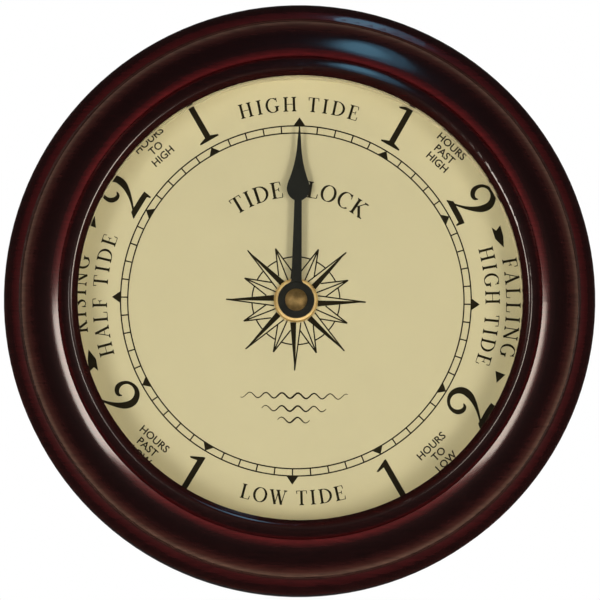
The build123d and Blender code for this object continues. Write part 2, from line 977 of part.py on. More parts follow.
# Lid of the movement case, with bearings for the wheels and latches into the walls
with BuildPart() as rear_cover:
    with BuildSketch(at_depth(cover_back)):
        RectangleRounded(case_size, case_size, case_corner_radius)
    extrude(amount=cover_thickness)
    add(
        block(cover_back, cover_front, -case_half, case_half, -case_half, bay_top),
        mode=Mode.SUBTRACT,
    )
    for side, height in latch_places:
        flat = case_inner - latch_gap
        arm = sorted((side * flat, side * (flat - latch_thickness)))
        barb = sorted((side * flat, side * (flat + latch_barb)))
        low = height - latch_width / 2
        high = height + latch_width / 2
        tip = cover_front + latch_length
        add(block(cover_front, tip, arm[0], arm[1], low, high))
        add(block(barb_low, tip, barb[0], barb[1], low, high))
    for place in board_posts:
        add(turned([(cover_front, board_back, board_post_radius)], place))
    with BuildSketch(at_depth(cover_front)):
        with Locations(centre_place, third_place, intermediate_place, rotor_place):
            Circle(pivot_radius + running_gap)
    extrude(amount=-pivot_hole_depth, mode=Mode.SUBTRACT)
    with BuildSketch(at_depth(cover_back, setting_place)):
        Circle(setting_shaft_radius + running_gap)
    extrude(amount=cover_thickness, mode=Mode.SUBTRACT)
rear_cover.part.label = "rear_cover"
export_step(rear_cover.part, "parts/rear_cover.step")

# Middle plate with the wheels' inner bearings
third_pinion_tip = third_module * third_pinion_teeth / 2 + addendum_share * third_module
with BuildPart() as middle_plate:
    with BuildSketch(at_depth(plate_back, (0, (plate_top + plate_bottom) / 2))):
        RectangleRounded(
            2 * plate_half_width, plate_top - plate_bottom, plate_corner_radius
        )
    extrude(amount=plate_thickness)
    add(turned([(plate_front, plate_front + plate_post_height, plate_post_radius)]))
    with BuildSketch(at_depth(plate_back)):
        with Locations(centre_place, motion_place, intermediate_place, rotor_place):
            Circle(pivot_radius + running_gap)
        with Locations(*plate_posts):
            Circle(stake_radius + stake_gap)
        with Locations(third_place):
            Circle(third_pinion_tip + third_window_gap)
    extrude(amount=plate_thickness, mode=Mode.SUBTRACT)
middle_plate.part.label = "middle_plate"
export_step(middle_plate.part, "parts/middle_plate.step")

# Hour wheel with the tube that carries the hand
with BuildPart() as hour_wheel:
    add(toothed(hour_module, hour_teeth, hour_turn, hour_back, hour_front))
    add(turned([(hour_front, hub_front, tube_radius)]))
    with BuildSketch(at_depth(hour_back)):
        Circle(cannon_arbor_radius + running_gap)
    extrude(amount=hub_front - hour_back, mode=Mode.SUBTRACT)
hour_wheel.part.label = "hour_wheel"
export_step(hour_wheel.part, "parts/hour_wheel.step")

# Motion wheel and its pinion, beside the hour wheel
pivot_front = inner_front + pivot_length
with BuildPart() as motion_wheel:
    add(
        toothed(
            cannon_module, motion_teeth, motion_turn, motion_back, motion_front, motion_place
        )
    )
    add(
        toothed(
            hour_module,
            motion_pinion_teeth,
            motion_pinion_turn,
            motion_front,
            hour_front + pinion_overhang,
            motion_place,
        )
    )
    add(
        turned(
            [
                (plate_back, plate_front + end_shake, pivot_radius),
                (plate_front + end_shake, motion_back, arbor_radius),
                (hour_front + pinion_overhang, pivot_front, pivot_radius),
            ],
            motion_place,
        )
    )
motion_wheel.part.label = "motion_wheel"
export_step(motion_wheel.part, "parts/motion_wheel.step")

# Cannon pinion with its long arbor, turning on the post of the middle plate
cannon_low = motion_back - pinion_overhang
cannon_high = motion_front + pinion_overhang
arbor_front = hub_front - cap_stem_length - arbor_tip_gap
with BuildPart() as cannon_pinion:
    add(toothed(cannon_module, cannon_teeth, cannon_turn, cannon_low, cannon_high))
    add(
        turned(
            [
                (plate_front + end_shake, cannon_low, cannon_shaft_radius),
                (cannon_high, arbor_front, cannon_arbor_radius),
            ]
        )
    )
    with BuildSketch(at_depth(plate_front + end_shake)):
        Circle(plate_post_radius + running_gap)
    extrude(amount=plate_post_height - end_shake + plate_post_gap, mode=Mode.SUBTRACT)
cannon_pinion.part.label = "cannon_pinion"
export_step(cannon_pinion.part, "parts/cannon_pinion.step")

# Centre wheel, slipping on the cannon pinion's shaft when the hand is set
with BuildPart() as centre_wheel:
    add(toothed(centre_module, centre_teeth, centre_turn, centre_back, centre_front))
    add(
        turned(
            [
                (
                    centre_back - centre_hub_overhang,
                    centre_front + centre_hub_overhang,
                    centre_hub_radius,
                )
            ]
        )
    )
    with BuildSketch(at_depth(centre_back - centre_hub_overhang)):
        Circle(cannon_shaft_radius + friction_gap)
    extrude(amount=wheel_thickness + 2 * centre_hub_overhang, mode=Mode.SUBTRACT)
centre_wheel.part.label = "centre_wheel"
export_step(centre_wheel.part, "parts/centre_wheel.step")

# Third wheel and its pinion, which reaches the centre wheel through the middle plate
pivot_back = cover_front - pivot_length
with BuildPart() as third_wheel:
    add(toothed(third_module, third_teeth, third_turn, third_back, third_front, third_place))
    add(
        toothed(
            centre_module,
            third_pinion_teeth,
            third_pinion_turn,
            third_front,
            centre_front + pinion_overhang,
            third_place,
        )
    )
    add(
        turned(
            [
                (pivot_back, cover_front + end_shake, pivot_radius),
                (cover_front + end_shake, third_back, arbor_radius),
                (centre_front + pinion_overhang, inner_front - end_shake, arbor_radius),
                (inner_front - end_shake, pivot_front, pivot_radius),
            ],
            third_place,
        )
    )
third_wheel.part.label = "third_wheel"
export_step(third_wheel.part, "parts/third_wheel.step")

# Seconds wheel and its pinion, on the clock's axis
with BuildPart() as seconds_wheel:
    add(toothed(motor_module, seconds_teeth, seconds_turn, seconds_back, seconds_front))
    add(
        toothed(
            third_module,
            seconds_pinion_teeth,
            seconds_pinion_turn,
            seconds_front,
            third_front + pinion_overhang,
        )
    )
    add(
        turned(
            [
                (pivot_back, cover_front + end_shake, pivot_radius),
                (cover_front + end_shake, seconds_back, arbor_radius),
                (third_front + pinion_overhang, plate_front - end_shake, pivot_radius),
            ]
        )
    )
seconds_wheel.part.label = "seconds_wheel"
export_step(seconds_wheel.part, "parts/seconds_wheel.step")

# Intermediate wheel and its pinion, between the rotor and the seconds wheel
with BuildPart() as intermediate_wheel:
    add(
        toothed(
            motor_module,
            intermediate_teeth,
            intermediate_turn,
            intermediate_back,
            intermediate_front,
            intermediate_place,
        )
    )
    add(
        toothed(
            motor_module,
            intermediate_pinion_teeth,
            intermediate_pinion_turn,
            intermediate_front,
            seconds_front + pinion_overhang,
            intermediate_place,
        )
    )
    add(
        turned(
            [
                (pivot_back, cover_front + end_shake, pivot_radius),
                (cover_front + end_shake, intermediate_back, arbor_radius),
                (seconds_front + pinion_overhang, plate_back - end_shake, arbor_radius),
                (plate_back - end_shake, plate_front - end_shake, pivot_radius),
            ],
            intermediate_place,
        )
    )
intermediate_wheel.part.label = "intermediate_wheel"
export_step(intermediate_wheel.part, "parts/intermediate_wheel.step")

# Rotor: pinion and shaft, with the ring magnet pressed on
rotor_pinion_front = intermediate_front + pinion_overhang
magnet_back = rotor_pinion_front + magnet_start_gap
magnet_front = magnet_back + magnet_length
with BuildPart() as rotor_pinion:
    add(
        toothed(
            motor_module,
            rotor_teeth,
            rotor_turn,
            intermediate_back - pinion_overhang,
            rotor_pinion_front,
            rotor_place,
        )
    )
    add(
        turned(
            [
                (pivot_back, cover_front + end_shake, pivot_radius),
                (
                    cover_front + end_shake,
                    intermediate_back - pinion_overhang,
                    rotor_shaft_radius,
                ),
                (rotor_pinion_front, plate_back - end_shake, rotor_shaft_radius),
                (plate_back - end_shake, plate_front - end_shake, pivot_radius),
            ],
            rotor_place,
        )
    )
rotor_pinion.part.label = "rotor_pinion"
export_step(rotor_pinion.part, "parts/rotor_pinion.step")

with BuildPart() as rotor_magnet:
    add(tube(magnet_back, magnet_front, rotor_shaft_radius, magnet_radius, rotor_place))
rotor_magnet.part.label = "rotor_magnet"
export_step(rotor_magnet.part, "parts/rotor_magnet.step")

# Stator: thin iron plate round the magnet, its two arms reaching up to the coil
stator_low = rotor_place[1] - stator_bar_height / 2
stator_high = rotor_place[1] + stator_bar_height / 2
with BuildPart() as stator:
    with BuildSketch(at_depth(stator_back)):
        with Locations(((stator_left + stator_right) / 2, (stator_low + stator_top) / 2)):
            RectangleRounded(
                stator_right - stator_left, stator_top - stator_low, stator_corner_radius
            )
        with Locations(((stator_left + stator_right) / 2, (stator_high + stator_top) / 2)):
            Rectangle(
                stator_right - stator_left - 2 * stator_arm_width,
                stator_top - stator_high,
                mode=Mode.SUBTRACT,
            )
        with Locations(rotor_place):
            Circle(stator_hole_radius, mode=Mode.SUBTRACT)
            with PolarLocations(stator_hole_radius, stator_notch_count, stator_notch_angle):
                Circle(stator_notch_radius, mode=Mode.SUBTRACT)
    extrude(amount=stator_thickness)
stator.part.label = "stator"
export_step(stator.part, "parts/stator.step")

# Core bar of the coil, lying on the stator's arms
core_front = stator_back
core_back = core_front - core_thickness
core_depth = (core_front + core_back) / 2
with BuildPart() as coil_core:
    add(
        block(
            core_back,
            core_front,
            stator_left,
            stator_right,
            core_middle - core_width / 2,
            core_middle + core_width / 2,
        )
    )
coil_core.part.label = "coil_core"
export_step(coil_core.part, "parts/coil_core.step")

# Bobbin and winding, turned about an axis along X
bobbin_radius = hypot(core_width, core_thickness) / 2 + bobbin_wall
coil_plane = across_at(core_depth, (coil_left, core_middle))
with BuildPart() as coil_bobbin:
    with BuildSketch(coil_plane):
        Circle(bobbin_flange_radius)
    extrude(amount=bobbin_flange_thickness)
    with BuildSketch(coil_plane):
        Circle(bobbin_radius)
    extrude(amount=coil_right - coil_left)
    with BuildSketch(coil_plane.offset(coil_right - coil_left)):
        Circle(bobbin_flange_radius)
    extrude(amount=-bobbin_flange_thickness)
    with BuildSketch(coil_plane):
        Rectangle(core_width, core_thickness)
    extrude(amount=coil_right - coil_left, mode=Mode.SUBTRACT)
coil_bobbin.part.label = "coil_bobbin"
export_step(coil_bobbin.part, "parts/coil_bobbin.step")

with BuildPart() as coil_winding:
    with BuildSketch(coil_plane.offset(bobbin_flange_thickness)):
        Circle(coil_radius)
        Circle(bobbin_radius, mode=Mode.SUBTRACT)
    extrude(amount=coil_right - coil_left - 2 * bobbin_flange_thickness)
coil_winding.part.label = "coil_winding"
export_step(coil_winding.part, "parts/coil_winding.step")

# Circuit board with its sealed chip and quartz can
board_floor = gear_floor + tail_thickness
board_middle = (board_left + board_right) / 2
with BuildPart() as circuit_board:
    add(block(board_back, board_front, board_left, board_right, board_floor, board_top))
circuit_board.part.label = "circuit_board"
export_step(circuit_board.part, "parts/circuit_board.step")

with BuildPart() as circuit_chip:
    chip_sphere_radius = (chip_radius**2 + chip_height**2) / (2 * chip_height)
    with BuildSketch(section_at((board_middle, -chip_drop))):
        with BuildLine():
            Polyline(
                (0, board_front + chip_height), (0, board_front), (chip_radius, board_front)
            )
            RadiusArc(
                (chip_radius, board_front),
                (0, board_front + chip_height),
                -chip_sphere_radius,
            )
        make_face()
    revolve(axis=axis_at((board_middle, -chip_drop)))
circuit_chip.part.label = "circuit_chip"
export_step(circuit_chip.part, "parts/circuit_chip.step")

with BuildPart() as quartz_crystal:
    can_start = (board_middle - crystal_length / 2, crystal_rise)
    with BuildSketch(across_at(board_front + crystal_radius, can_start)):
        Circle(crystal_radius)
    extrude(amount=crystal_length)
quartz_crystal.part.label = "quartz_crystal"
export_step(quartz_crystal.part, "parts/quartz_crystal.step")

# Setting arbor with its pinion, and the knob pressed on at the back
knob_front = cover_back - knob_gap
knob_back = knob_front - knob_thickness
with BuildPart() as setting_arbor:
    add(
        toothed(
            cannon_module, setting_teeth, setting_turn, cannon_low, cannon_high, setting_place
        )
    )
    add(
        turned(
            [
                (knob_front - knob_seat_depth, cannon_low, setting_shaft_radius),
                (cannon_high, inner_front - end_shake, setting_shaft_radius),
                (inner_front - end_shake, pivot_front, setting_pivot_radius),
            ],
            setting_place,
        )
    )
setting_arbor.part.label = "setting_arbor"
export_step(setting_arbor.part, "parts/setting_arbor.step")

with BuildPart() as setting_knob:
    add(turned([(knob_back, knob_front, knob_radius)], setting_place))
    chamfer(setting_knob.edges().filter_by(GeomType.CIRCLE), knob_bevel)
    with BuildSketch(at_depth(knob_back, setting_place)):
        with PolarLocations(knob_radius, knob_groove_count):
            Circle(knob_groove_radius)
    extrude(amount=knob_thickness, mode=Mode.SUBTRACT)
    with BuildSketch(at_depth(knob_front - knob_seat_depth, setting_place)):
        Circle(setting_shaft_radius)
    extrude(amount=knob_seat_depth, mode=Mode.SUBTRACT)
setting_knob.part.label = "setting_knob"
export_step(setting_knob.part, "parts/setting_knob.step")

# Battery lying across the bay, its positive end to the right
positive_end = case_inner - contact_thickness - contact_inset
negative_end = positive_end - battery_length
battery_plane = across_at(battery_depth, (negative_end, battery_middle))
with BuildPart() as battery:
    with BuildSketch(battery_plane):
        Circle(battery_base_radius)
    extrude(amount=battery_base_step)
    with BuildSketch(battery_plane.offset(battery_base_step)):
        Circle(battery_radius)
    extrude(amount=battery_length - battery_base_step - battery_nub_length)
    fillet(
        battery.edges().filter_by(GeomType.CIRCLE).sort_by(SortBy.RADIUS)[-2:],
        battery_edge_round,
    )
    with BuildSketch(battery_plane.offset(battery_length - battery_nub_length)):
        Circle(battery_nub_radius)
    extrude(amount=battery_nub_length)
battery.part.label = "battery"
export_step(battery.part, "parts/battery.step")

# Contacts: a plate at each end of the bay, with a tail along the gear side of its wall
tail_low = cover_front + tail_clearance
tail_high = tail_low + tail_width
contact_low = battery_depth - contact_height / 2
contact_high = battery_depth + contact_height / 2
with BuildPart() as positive_contact:
    add(
        block(
            contact_low,
            contact_high,
            case_inner - contact_thickness,
            case_inner,
            battery_middle - contact_width / 2,
            battery_middle + contact_width / 2,
        )
    )
    add(
        block(
            tail_low,
            tail_high,
            case_inner - contact_thickness,
            case_inner,
            battery_middle,
            board_floor,
        )
    )
    add(block(tail_low, tail_high, board_middle + tail_width, case_inner, gear_floor, board_floor))
positive_contact.part.label = "positive_contact"
export_step(positive_contact.part, "parts/positive_contact.step")

with BuildPart() as negative_contact:
    add(
        block(
            contact_low,
            contact_high,
            -case_inner,
            contact_thickness - case_inner,
            battery_middle - contact_width / 2,
            battery_middle + contact_width / 2,
        )
    )
    add(
        block(
            tail_low,
            tail_high,
            -case_inner,
            contact_thickness - case_inner,
            battery_middle,
            board_floor,
        )
    )
    add(block(tail_low, tail_high, -case_inner, board_middle - tail_width, gear_floor, board_floor))
    # bowed leaf that presses on the battery
    leaf_foot = contact_thickness - case_inner
    leaf_crest = negative_end - contact_inset
    half_span = contact_width / 2 - leaf_thickness
    with BuildSketch(at_depth(contact_low, (0, battery_middle))):
        with BuildLine():
            ThreePointArc((leaf_foot, -half_span), (leaf_crest, 0), (leaf_foot, half_span))
            Line((leaf_foot, half_span), (leaf_foot, half_span - leaf_thickness))
            ThreePointArc(
                (leaf_foot, half_span - leaf_thickness),
                (leaf_crest - leaf_thickness, 0),
                (leaf_foot, leaf_thickness - half_span),
            )
            Line((leaf_foot, leaf_thickness - half_span), (leaf_foot, -half_span))
        make_face()
    extrude(amount=contact_height)
negative_contact.part.label = "negative_contact"
export_step(negative_contact.part, "parts/negative_contact.step")
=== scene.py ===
# %% [markdown]
# # A wall-hung tide clock, dressed for its picture
# The clock is a turned wooden ring in dark cherry lacquer, with glass set behind its lip and a
# printed dial deep behind the glass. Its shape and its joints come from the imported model.
# This lesson gives each surface its finish, prints the dial, and sets up light and camera.

import json
from math import cos, degrees, hypot, radians, sin

import bpy
from mathutils import Matrix, Vector


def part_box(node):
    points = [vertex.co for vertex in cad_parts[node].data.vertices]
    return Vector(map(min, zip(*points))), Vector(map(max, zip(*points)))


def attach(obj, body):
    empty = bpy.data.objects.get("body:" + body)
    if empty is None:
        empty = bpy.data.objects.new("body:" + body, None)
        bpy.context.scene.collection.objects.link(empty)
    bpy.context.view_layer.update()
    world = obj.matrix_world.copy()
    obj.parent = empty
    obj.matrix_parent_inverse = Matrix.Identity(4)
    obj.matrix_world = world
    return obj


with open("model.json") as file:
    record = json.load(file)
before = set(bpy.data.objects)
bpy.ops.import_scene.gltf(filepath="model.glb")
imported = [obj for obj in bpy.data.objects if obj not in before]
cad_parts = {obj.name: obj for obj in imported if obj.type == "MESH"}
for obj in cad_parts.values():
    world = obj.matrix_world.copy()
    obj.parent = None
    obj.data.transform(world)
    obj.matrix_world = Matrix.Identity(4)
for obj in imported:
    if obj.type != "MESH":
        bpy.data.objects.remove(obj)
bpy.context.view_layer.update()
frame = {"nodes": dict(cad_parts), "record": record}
nodes = frame["nodes"]
print(len(nodes), "nodes from the packed model")

# %% [markdown]
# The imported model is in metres. Its origin is in the keyhole at the back, so the axis of the
# dial lies below it, and the wooden frame's own axis a little to the right of the dial's.
# Measuring both from the nodes keeps this scene right if a size changes.

# %% Measure the places that the rest hangs on
MM = 0.001


def middle(node):
    """The middle of a node's box."""
    low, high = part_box(node)
    return (low + high) / 2


dial_axis = middle("dial_plate")
frame_axis = middle("wood_frame")
dial_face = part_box("dial_plate")[0].y
frame_radius = (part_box("wood_frame")[1].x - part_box("wood_frame")[0].x) / 2
print("dial axis", tuple(round(v / MM, 2) for v in dial_axis), "mm")
print("frame axis", tuple(round(v / MM, 2) for v in frame_axis), "mm")
print("dial face at", round(dial_face / MM, 2), "mm; frame radius", round(frame_radius / MM, 2), "mm")

# %% [markdown]
# ## Camera
# The picture was taken from far away, a little from below and from the left, because the inside
# of the lip shows at the top right. A long lens keeps the circle almost free of perspective.
# The picture also shows the clock turned a degree clockwise, so the camera is rolled instead.

# %% Camera at the picture's angle
CAMERA_DISTANCE = 2.0
CAMERA_LEFT = radians(0.796)
CAMERA_BELOW = radians(3.473)
CAMERA_ROLL = radians(1.146)
LENS = 432.5
SENSOR_WIDTH = 36
AIM_LEFT = 0.075 * MM
AIM_BELOW = 0.72 * MM
AIM_IN_FRONT = 34 * MM

aim = Vector((frame_axis.x - AIM_LEFT, -AIM_IN_FRONT, frame_axis.z - AIM_BELOW))
towards_camera = Vector(
    (
        -sin(CAMERA_LEFT) * cos(CAMERA_BELOW),
        -cos(CAMERA_LEFT) * cos(CAMERA_BELOW),
        -sin(CAMERA_BELOW),
    )
)
camera_data = bpy.data.cameras.new("camera")
camera_data.lens = LENS
camera_data.sensor_width = SENSOR_WIDTH
camera_data.clip_start = 0.05
camera_data.clip_end = 50
camera = bpy.data.objects.new("camera", camera_data)
bpy.context.scene.collection.objects.link(camera)
bpy.context.scene.camera = camera
turn = (-towards_camera).to_track_quat("-Z", "Y").to_matrix().to_4x4()
camera.matrix_world = (
    Matrix.Translation(aim + towards_camera * CAMERA_DISTANCE)
    @ turn
    @ Matrix.Rotation(CAMERA_ROLL, 4, "Z")
)
bpy.context.scene.view_settings.view_transform = "Standard"
print("camera at", tuple(round(v, 3) for v in camera.location))

# %% [markdown]
# ## Wiring a finish
# A finish is a network of nodes. Written out link by link it is hard to read, so three small
# classes help. A Wire is one socket that can be added to or multiplied like a number.
# A Network makes the nodes: it takes a node's type, its settings, and what goes into it.
# A Finish is the network of one material, with short calls for what many finishes share.


# %% A socket that works like a number
class Wire:
    """One output of a node. Sums on it add Math nodes."""

    def __init__(self, network, socket):
        self.network = network
        self.socket = socket

    def sum(self, operation, first, second):
        return self.network.node(
            "ShaderNodeMath", {"operation": operation}, {0: first, 1: second}
        )

    def __add__(self, other):
        return self.sum("ADD", self, other)

    def __sub__(self, other):
        return self.sum("SUBTRACT", self, other)

    def __rsub__(self, other):
        return self.sum("SUBTRACT", other, self)

    def __mul__(self, other):
        return self.sum("MULTIPLY", self, other)

    def __truediv__(self, other):
        return self.sum("DIVIDE", self, other)

    __radd__ = __add__
    __rmul__ = __mul__


print("Wire is ready")


# %% A network of nodes
class Network:
    """The nodes of a material or of the world, made by short calls."""

    def __init__(self, tree):
        self.tree = tree
        self.tree.nodes.clear()

    def node(self, kind, settings=None, inputs=None, out=0):
        """Add a node: its settings first, then values or wires for its sockets."""
        node = self.tree.nodes.new(kind)
        for name, value in (settings or {}).items():
            if name == "stops":
                ramp = node.color_ramp
                while len(ramp.elements) < len(value):
                    ramp.elements.new(1.0)
                for element, (spot, colour) in zip(ramp.elements, value):
                    element.position = spot
                    element.color = (*colour, 1.0)
            else:
                setattr(node, name, value)
        for name, value in (inputs or {}).items():
            if isinstance(value, Wire):
                self.tree.links.new(value.socket, node.inputs[name])
            else:
                node.inputs[name].default_value = value
        return Wire(self, node.outputs[out])

    def end(self, shader, kind="ShaderNodeOutputMaterial"):
        """Lead a shader to the output of the network."""
        output = self.tree.nodes.new(kind)
        self.tree.links.new(shader.socket, output.inputs["Surface"])


print("Network is ready")


# %% One finish, as the network of a material
class Finish(Network):
    """A material and the patterns that many finishes share."""

    def __init__(self, name):
        self.material = bpy.data.materials.new(name)
        self.material.use_nodes = True
        super().__init__(self.material.node_tree)
        self.place = self.node("ShaderNodeTexCoord", out="Object")

    def centred(self, centre, stretch=(1, 1, 1)):
        """Object coordinates measured from a centre, stretched for a grain."""
        shifted = self.node(
            "ShaderNodeVectorMath", {"operation": "SUBTRACT"}, {0: self.place, 1: tuple(centre)}
        )
        return self.node(
            "ShaderNodeVectorMath", {"operation": "MULTIPLY"}, {0: shifted, 1: stretch}
        )

    def distance(self, centre, kept):
        """Distance from a centre, in metres, along the axes for which kept is 1."""
        return self.node(
            "ShaderNodeVectorMath",
            {"operation": "LENGTH"},
            {0: self.centred(centre, kept)},
            out="Value",
        )

    def radius(self, centre):
        """Distance from an axis along Y."""
        return self.distance(centre, (1, 0, 1))

    def mottle(self, where, scale, detail=3, rough=0.55):
        """Soft random pattern from 0 to 1."""
        return self.node(
            "ShaderNodeTexNoise",
            inputs={"Vector": where, "Scale": scale, "Detail": detail, "Roughness": rough},
        )

    def around(self, value, pattern, swing):
        """A value that a pattern moves up and down by half of swing."""
        return pattern * swing + (value - swing / 2)

    def ramp(self, factor, stops, between="LINEAR"):
        """Colour by a factor, from stops of a position and a colour."""
        wire = self.node("ShaderNodeValToRGB", {"stops": stops}, {"Fac": factor})
        wire.socket.node.color_ramp.interpolation = between
        return wire

    def blend(self, factor, first, second, how):
        """Mix two colours. A Mix node has them at sockets 6 and 7, and their mix at output 2."""
        return self.node(
            "ShaderNodeMix",
            {"data_type": "RGBA", "blend_type": how},
            {0: factor, 6: first, 7: second},
            out=2,
        )

    def bump(self, height, strength, distance):
        """Turn a height pattern into small relief."""
        return self.node(
            "ShaderNodeBump",
            inputs={"Height": height, "Strength": strength, "Distance": distance},
        )

    def coat(self, **sockets):
        """Close the network with one Principled shader. Names use _ for a blank."""
        named = {name.replace("_", " "): value for name, value in sockets.items()}
        self.end(self.node("ShaderNodeBsdfPrincipled", inputs=named))


print("Finish is ready")

# %% [markdown]
# ## Lacquered wood
# The frame is hardwood with a dark cherry lacquer. The maker sprays a near-black toner over a red
# stain: crests come out almost black, and the hollows beside them stay red. The colour therefore
# goes by distance from the frame's axis, at the radii listed below in millimetres. The rings at
# 76.2 and 77.3 mm are paler than the stain: there a painted reflection, the grazing glint of the
# white wall on the roll's steep outer edge, is added to the colour. The grain is only faintly
# seen through the lacquer, and a clear coat on top gives the gloss.

# %% Stain, toner and a painted reflection by radius
TONER_AND_REFLECTION = [
    (61.8, (0.018, 0.0017, 0.0010)),
    (63.0, (0.020, 0.0020, 0.0012)),
    (64.3, (0.012, 0.0022, 0.0022)),
    (66.0, (0.011, 0.0020, 0.0022)),
    (66.9, (0.034, 0.0022, 0.0026)),
    (67.7, (0.082, 0.0060, 0.0076)),
    (68.6, (0.046, 0.0034, 0.0044)),
    (69.6, (0.014, 0.0018, 0.0022)),
    (71.0, (0.0085, 0.0016, 0.0018)),
    (73.6, (0.0100, 0.0018, 0.0020)),
    (75.0, (0.024, 0.0044, 0.0040)),
    # The next two rings carry a painted reflection: the wall's grazing glint on the roll's outer
    # edge.
    (76.2, (0.052, 0.0160, 0.0120)),
    (77.3, (0.120, 0.0700, 0.0520)),
    (77.9, (0.040, 0.0110, 0.0090)),
    (78.5, (0.040, 0.0036, 0.0046)),
    (79.6, (0.032, 0.0028, 0.0034)),
    (80.6, (0.014, 0.0020, 0.0022)),
    (81.6, (0.018, 0.0026, 0.0022)),
    (82.5, (0.044, 0.0070, 0.0040)),
]
RINGS_START = 62.0
RINGS_SPAN = 20.5
RINGS_WANDER = 0.02

lacquer = Finish("dark_lacquer")
outward = (lacquer.radius(frame_axis) / MM - RINGS_START) / RINGS_SPAN
grain = lacquer.mottle(lacquer.centred(frame_axis, (1, 1, 9)), scale=190, detail=6, rough=0.6)
patches = lacquer.mottle(lacquer.place, scale=55)
toned_with_reflection = lacquer.ramp(
    outward + (patches - 0.5) * RINGS_WANDER,
    [((radius - RINGS_START) / RINGS_SPAN, colour) for radius, colour in TONER_AND_REFLECTION],
)
depth_of_stain = lacquer.ramp(grain, [(0.3, (0.62, 0.6, 0.6)), (0.72, (1.3, 1.22, 1.2))])
stained_with_reflection = lacquer.blend(1.0, toned_with_reflection, depth_of_stain, how="MULTIPLY")
lacquer.coat(
    Base_Color=stained_with_reflection,
    Roughness=0.5,
    Specular_IOR_Level=0.05,
    Coat_Weight=0.9,
    Coat_Roughness=0.13,
    Normal=lacquer.bump(grain, strength=0.03, distance=0.05 * MM),
)
print("lacquer colour has", len(TONER_AND_REFLECTION), "rings")

# %% [markdown]
# ## Glass
# The flat glass reflects a little and lets everything else through. A full glass shader would
# bend each ray and block the lamps, so a thin pane is mixed from a clear and a mirror shader
# instead, with Fresnel deciding how much of each.

# %% Thin pane
glass = Finish("clear_glass")
clear = glass.node("ShaderNodeBsdfTransparent", inputs={"Color": (0.985, 0.995, 0.985, 1)})
mirror = glass.node("ShaderNodeBsdfGlossy", inputs={"Roughness": 0.0})
edge_on = glass.node("ShaderNodeFresnel", inputs={"IOR": 1.45})
glass.end(glass.node("ShaderNodeMixShader", inputs={0: edge_on, 1: clear, 2: mirror}))
print("glass is a mix of clear and mirror")

# %% [markdown]
# ## Cream enamel, ink and black enamel
# The dial is sheet metal with a satin cream coat, very even, with the faintest mottling. The
# print on it is black with a brown tinge. The hand is stamped and enamelled black. One function
# makes them all, from a colour and its change, a roughness, and the scale and relief of the skin.


# %% Painted surfaces
def shades(colour, change):
    """A darker and a lighter shade of a colour."""
    dark = tuple(c * (1 - change) for c in colour)
    light = tuple(min(1.0, c * (1 + change)) for c in colour)
    return dark, light


def painted(name, colour, change, roughness, scale, relief, shine=0.5):
    """Even paint with slight mottling of its colour and gloss."""
    paint = Finish(name)
    dark, light = shades(colour, change)
    cloud = paint.mottle(paint.place, scale, detail=4)
    gloss = paint.mottle(paint.place, scale * 3, detail=2)
    skin = paint.mottle(paint.place, scale * 12, detail=2)
    paint.coat(
        Base_Color=paint.ramp(cloud, [(0.3, dark), (0.7, light)]),
        Roughness=paint.around(roughness, gloss, swing=0.08),
        Specular_IOR_Level=shine,
        Normal=paint.bump(skin, relief, distance=0.03 * MM),
    )
    return paint.material


cream = painted(
    "cream_print",
    (0.673, 0.62, 0.413),
    change=0.015,
    roughness=0.6,
    scale=60,
    relief=0.05,
    shine=0.3,
)
ring_cream = painted(
    "cream_ring", (0.88, 0.80, 0.62), change=0.02, roughness=0.4, scale=90, relief=0.1
)
ink = painted(
    "dial_ink",
    (0.016, 0.013, 0.006),
    change=0.1,
    roughness=0.6,
    scale=300,
    relief=0.1,
    shine=0.03,
)
hand_black = painted(
    "black_enamel",
    (0.013, 0.014, 0.0125),
    change=0.15,
    roughness=0.5,
    scale=400,
    relief=0.2,
    shine=0.08,
)
print("paints:", cream.name, ring_cream.name, ink.name, hand_black.name)

# %% [markdown]
# ## Brass and the other metals
# The nut and the cap are turned, so their fine rings run round the dial's axis. Tarnish makes
# brass patchy: browner and duller in some places. Stamped strip has no rings, only a soft grain.


# %% Metals
RINGS_PER_METRE = 9000


def turned_metal(name, bright, dull, roughness):
    """Metal with turning marks round the dial's axis, and patches of tarnish."""
    metal = Finish(name)
    marks = metal.node(
        "ShaderNodeTexNoise",
        {"noise_dimensions": "1D"},
        {"W": metal.radius(dial_axis) * RINGS_PER_METRE, "Scale": 1.0, "Detail": 3.0},
    )
    patches = metal.mottle(metal.place, scale=420, detail=4, rough=0.6)
    metal.coat(
        Base_Color=metal.ramp(patches, [(0.35, dull), (0.62, bright)]),
        Metallic=1.0,
        Roughness=metal.around(roughness, patches, swing=0.16),
        Normal=metal.bump(marks, strength=0.18, distance=0.02 * MM),
    )
    return metal.material


def strip_metal(name, bright, dull, roughness, stretch=(1, 1, 1)):
    """Rolled or ground metal with a soft grain along one direction."""
    metal = Finish(name)
    grain = metal.mottle(metal.centred((0, 0, 0), stretch), scale=900, detail=4, rough=0.6)
    patches = metal.mottle(metal.place, scale=160)
    metal.coat(
        Base_Color=metal.ramp(patches, [(0.35, dull), (0.65, bright)]),
        Metallic=1.0,
        Roughness=metal.around(roughness, grain, swing=0.16),
        Normal=metal.bump(grain, strength=0.12, distance=0.02 * MM),
    )
    return metal.material


